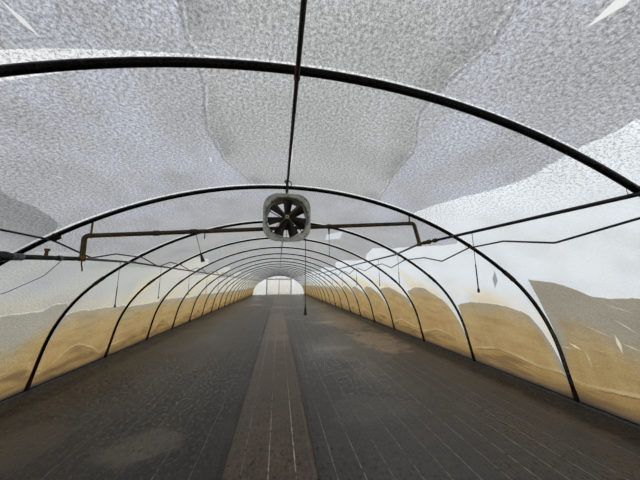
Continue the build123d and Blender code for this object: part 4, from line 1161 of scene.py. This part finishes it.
# Wrapped pipe: the near left feed, lagged with many turns of black tape over rags, lumpy, with a
# clamp joint and two rusty stubs standing on it.
wrap_start = Vector((-2.250, -16.440, 1.888))
wrap_corner = Vector((-2.340, -16.850, 1.860))
wrap_end = Vector((-2.535, -17.712, 1.974))
wrap_first, wrap_second = (wrap_corner - wrap_start).length, (wrap_end - wrap_corner).length
wrap_length = wrap_first + wrap_second


def wrap_line(distance):
    """Point on the wrapped pipe's route, with its corner eased."""
    def sharp(d):
        d = min(max(d, 0), wrap_length)
        if d < wrap_first:
            return wrap_start.lerp(wrap_corner, d / wrap_first)
        return wrap_corner.lerp(wrap_end, (d - wrap_first) / wrap_second)
    spread = min(0.09, distance, wrap_length - distance)
    return sum((sharp(distance + spread * k / 4) for k in range(-4, 5)), Vector()) / 9


joint_at, lap_pitch = 0.285, 0.042


def ring_round(bm, segments, radius, centre, along):
    """A ring of edges round a line, with its vertices."""
    turned = Vector((0, 0, 1)).rotation_difference(along).to_matrix().to_4x4()
    ring = bmesh.ops.create_circle(
        bm, segments=segments, radius=radius, matrix=Matrix.Translation(centre) @ turned)
    return ring["verts"], list({edge for vert in ring["verts"] for edge in vert.link_edges})


def lagged(name, line, length, rings, sides, radius_at, finish):
    """A lumpy lagged pipe: rings along its line, bridged and closed, with the lap of the tape raised."""
    bm = bmesh.new()
    last_ring = None
    for i in range(rings):
        distance = length * i / (rings - 1)
        centre = line(distance)
        ahead = (line(min(distance + 0.01, length)) - line(max(distance - 0.01, 0))).normalized()
        verts, ring_edges = ring_round(bm, sides, 1, centre, ahead)
        for vert in verts:
            way = vert.co - centre
            lump = noise.fractal(vert.co * 5.0 + Vector((distance * 6, 0, 0)), 1.0, 2.0, 3)
            lap = (distance / lap_pitch + atan2(way.z, way.x) / (2 * pi)) % 1.0
            vert.co = centre + way.normalized() * radius_at(distance, lump, lap)
        if last_ring:
            bmesh.ops.bridge_loops(bm, edges=last_ring + ring_edges)
        last_ring = ring_edges
    bmesh.ops.holes_fill(bm, edges=[edge for edge in bm.edges if edge.is_boundary], sides=sides)
    return closed_piece(bm, name, finish, smooth=True)


def wrap_radius(distance, lump, lap):
    """Bare taped pipe as far as the clamp joint, thick rags and tape beyond it."""
    thick = min(max((distance - joint_at - 0.02) / 0.05, 0), 1) * min(1, (wrap_length - distance) / 0.05 + 0.55)
    return min(0.0215 + 0.0025 * lump + 0.0012 * (1 - lap) + thick * (0.0185 + 0.005 * lump), 0.0485)


tape = aged("black tape lagging", "0C0C0D", "1B1A1A", "2E2A27", 18, (0.35, 0.65), shine=0.35, dents=0.5)
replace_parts(lagged("pipe_lagging", wrap_line, wrap_length, 130, 30, wrap_radius, tape), "wrapped_pipe")

# The same tape on the feed between the junction barrel and the lagging
feed_way = Vector((0.150, 0.684, 0.047)).normalized()
feed_first, feed_length = wrap_start + feed_way * 0.004, 0.236


def feed_radius(distance, lump, lap):
    """Thin tape over the feed, drawn in at its two ends."""
    ends = min(1, distance / 0.02 + 0.5, (feed_length - distance) / 0.02 + 0.5)
    return (0.0205 + 0.0022 * lump + 0.0012 * (1 - lap)) * ends + 0.0005


lagged("feed_tape", lambda distance: feed_first + feed_way * distance, feed_length, 30, 22, feed_radius, tape)


def drawn_strip(bm, verts, edges, step, thickness):
    """Draws a ring of edges out to both sides into a strip, and gives it thickness."""
    drawn = bmesh.ops.extrude_edge_only(bm, edges=edges)["geom"]
    top = [g for g in drawn if isinstance(g, bmesh.types.BMVert)]
    faces = [g for g in drawn if isinstance(g, bmesh.types.BMFace)]
    bmesh.ops.translate(bm, verts=verts, vec=-step)
    bmesh.ops.translate(bm, verts=top, vec=step)
    bmesh.ops.recalc_face_normals(bm, faces=faces)
    bmesh.ops.solidify(bm, geom=faces, thickness=-thickness)


def band_round(bm, centre, along, radius, width, thickness):
    """A flat band round a pipe."""
    verts, edges = ring_round(bm, 22, radius, centre, along)
    drawn_strip(bm, verts, edges, along * (width / 2), thickness)


joint_way = (wrap_line(joint_at + 0.02) - wrap_line(joint_at - 0.02)).normalized()
clamp_joint = bmesh.new()
band_round(clamp_joint, wrap_line(joint_at), joint_way, 0.0262, 0.085, 0.0025)
for shift in (-0.032, 0.0, 0.032):
    band_round(clamp_joint, wrap_line(joint_at) + joint_way * shift, joint_way, 0.0290, 0.012, 0.003)
joint_grey = aged("grey clamp joint", "6A747C", "545C62", "33332F", 30, (0.35, 0.6), metal=0.2, dents=0.2)
closed_piece(clamp_joint, "lagging_clamp_joint", joint_grey)
feed_clip = bmesh.new()
band_round(feed_clip, feed_first + feed_way * 0.055, feed_way, 0.0250, 0.030, 0.0025)
closed_piece(feed_clip, "feed_clip", joint_grey)
pipe_stub = bmesh.new()
for sides, low_radius, high_radius, depth, shift in (
        (14, 0.014, 0.013, 0.075, (0, 0, 0.045)), (6, 0.021, 0.021, 0.022, (0.002, 0, 0.076))):
    bmesh.ops.create_cone(
        pipe_stub, cap_ends=True, segments=sides, radius1=low_radius, radius2=high_radius, depth=depth,
        matrix=Matrix.Translation(wrap_line(0.065) + Vector(shift)))
closed_piece(pipe_stub, "lagging_stub", hub_rust)


# Lateral pipes and side hoses: black polythene pipe tied under the hoops along both sides. Every
# tie is a loop of black strap pulled tight round the hoop and the pipe.
black_pipe = aged("black polythene pipe", "0C0C0D", "171719", "26231F", 14, (0.35, 0.6), shine=0.45, dents=0.15)
finish_node("lateral_pipes", black_pipe)
finish_node("side_hoses", black_pipe)


def add_tie(bm, x, y, pipe_radius, way):
    """A strap looped diagonally round a hoop and the pipe under it."""
    lean = atan2(x, roof_z(x) - roof_centre_z)
    outward = Vector((sin(lean), 0, cos(lean)))
    across = Vector((cos(lean), 0, -sin(lean)))
    slant = (across * way + Vector((0, 1, 0))).normalized()
    hoop_mid = Vector((x, y, roof_z(x)))
    drop = tube_radius + pipe_radius
    rounds = ((hoop_mid, tube_radius + 0.0012), (hoop_mid - outward * drop, pipe_radius + 0.0016))
    verts, edges = ring_round(bm, 24, 1, Vector(), outward)
    for i, vert in enumerate(verts):
        angle = 2 * pi * i / 24
        height, side = cos(angle), sin(angle)
        norm = sqrt(height ** 2 + 2 * side ** 2)
        mid, radius = max(rounds, key=lambda each: each[0].dot(outward) * height + each[1] * norm)
        vert.co = mid + outward * (radius * height / norm) + slant * (2 * radius * side / norm)
    drawn_strip(bm, verts, edges, outward.cross(slant) * 0.003, 0.0012)


hose_places = ((-2.47, 0.010), (2.50, 0.010))
lateral_places = ((-2.60, 0.016), (2.30, 0.016))
pipe_ties = bmesh.new()
for i, y in enumerate(hoop_ys[1:-1], start=1):
    for x, radius in hose_places:
        add_tie(pipe_ties, x, y, radius, 1 if i % 2 else -1)
    for x, radius in lateral_places:
        if y != fan_hoop_y:
            add_tie(pipe_ties, x, y, radius, -1 if i % 2 else 1)
tie_strap = aged("black tie strap", "101010", "1C1A18", "302A24", 60, (0.45, 0.7), dents=0.2)
closed_piece(pipe_ties, "pipe_ties", tie_strap)


# Rag: oily cloth bound into a lump round the hoop where the left hose leaves it, next to the
# cross pipe.
rag_x = -2.455
rag = bmesh.new()
bmesh.ops.create_icosphere(rag, subdivisions=4, radius=1)
rag_lean = atan2(rag_x, roof_z(rag_x) - roof_centre_z)
rag_out = Vector((sin(rag_lean), 0, cos(rag_lean)))
for vert in rag.verts:
    ball = vert.co.copy()
    lump = noise.fractal(ball * 1.9, 1.0, 2.0, 4)
    vert.co = Vector((ball.x * 0.052, ball.y * 0.034, ball.z * 0.040)) * (1 + 0.28 * lump)
bmesh.ops.transform(rag, verts=rag.verts, matrix=(
    Matrix.Translation(Vector((rag_x, fan_hoop_y, roof_z(rag_x))) - rag_out * 0.018)
    @ Matrix.Rotation(rag_lean, 4, "Y")))
rag_cloth = aged("oily rag", "14110E", "241D17", "352A20", 30, (0.75, 0.95), shine=0.2, dents=0.6)
closed_piece(rag, "hose_rag", rag_cloth, smooth=True)


# Droppers: thin stiff plastic tubes below the pipes, each drawn as one tube with a thicker lower
# half and a moulded nozzle at its end.
dropper_tube = aged("dropper tube", "141414", "262422", "37322C", 30, (0.4, 0.7), shine=0.4, dents=0.2)
finish_node("droppers", dropper_tube)
finish_node("cross_pipe_droppers", dropper_tube)
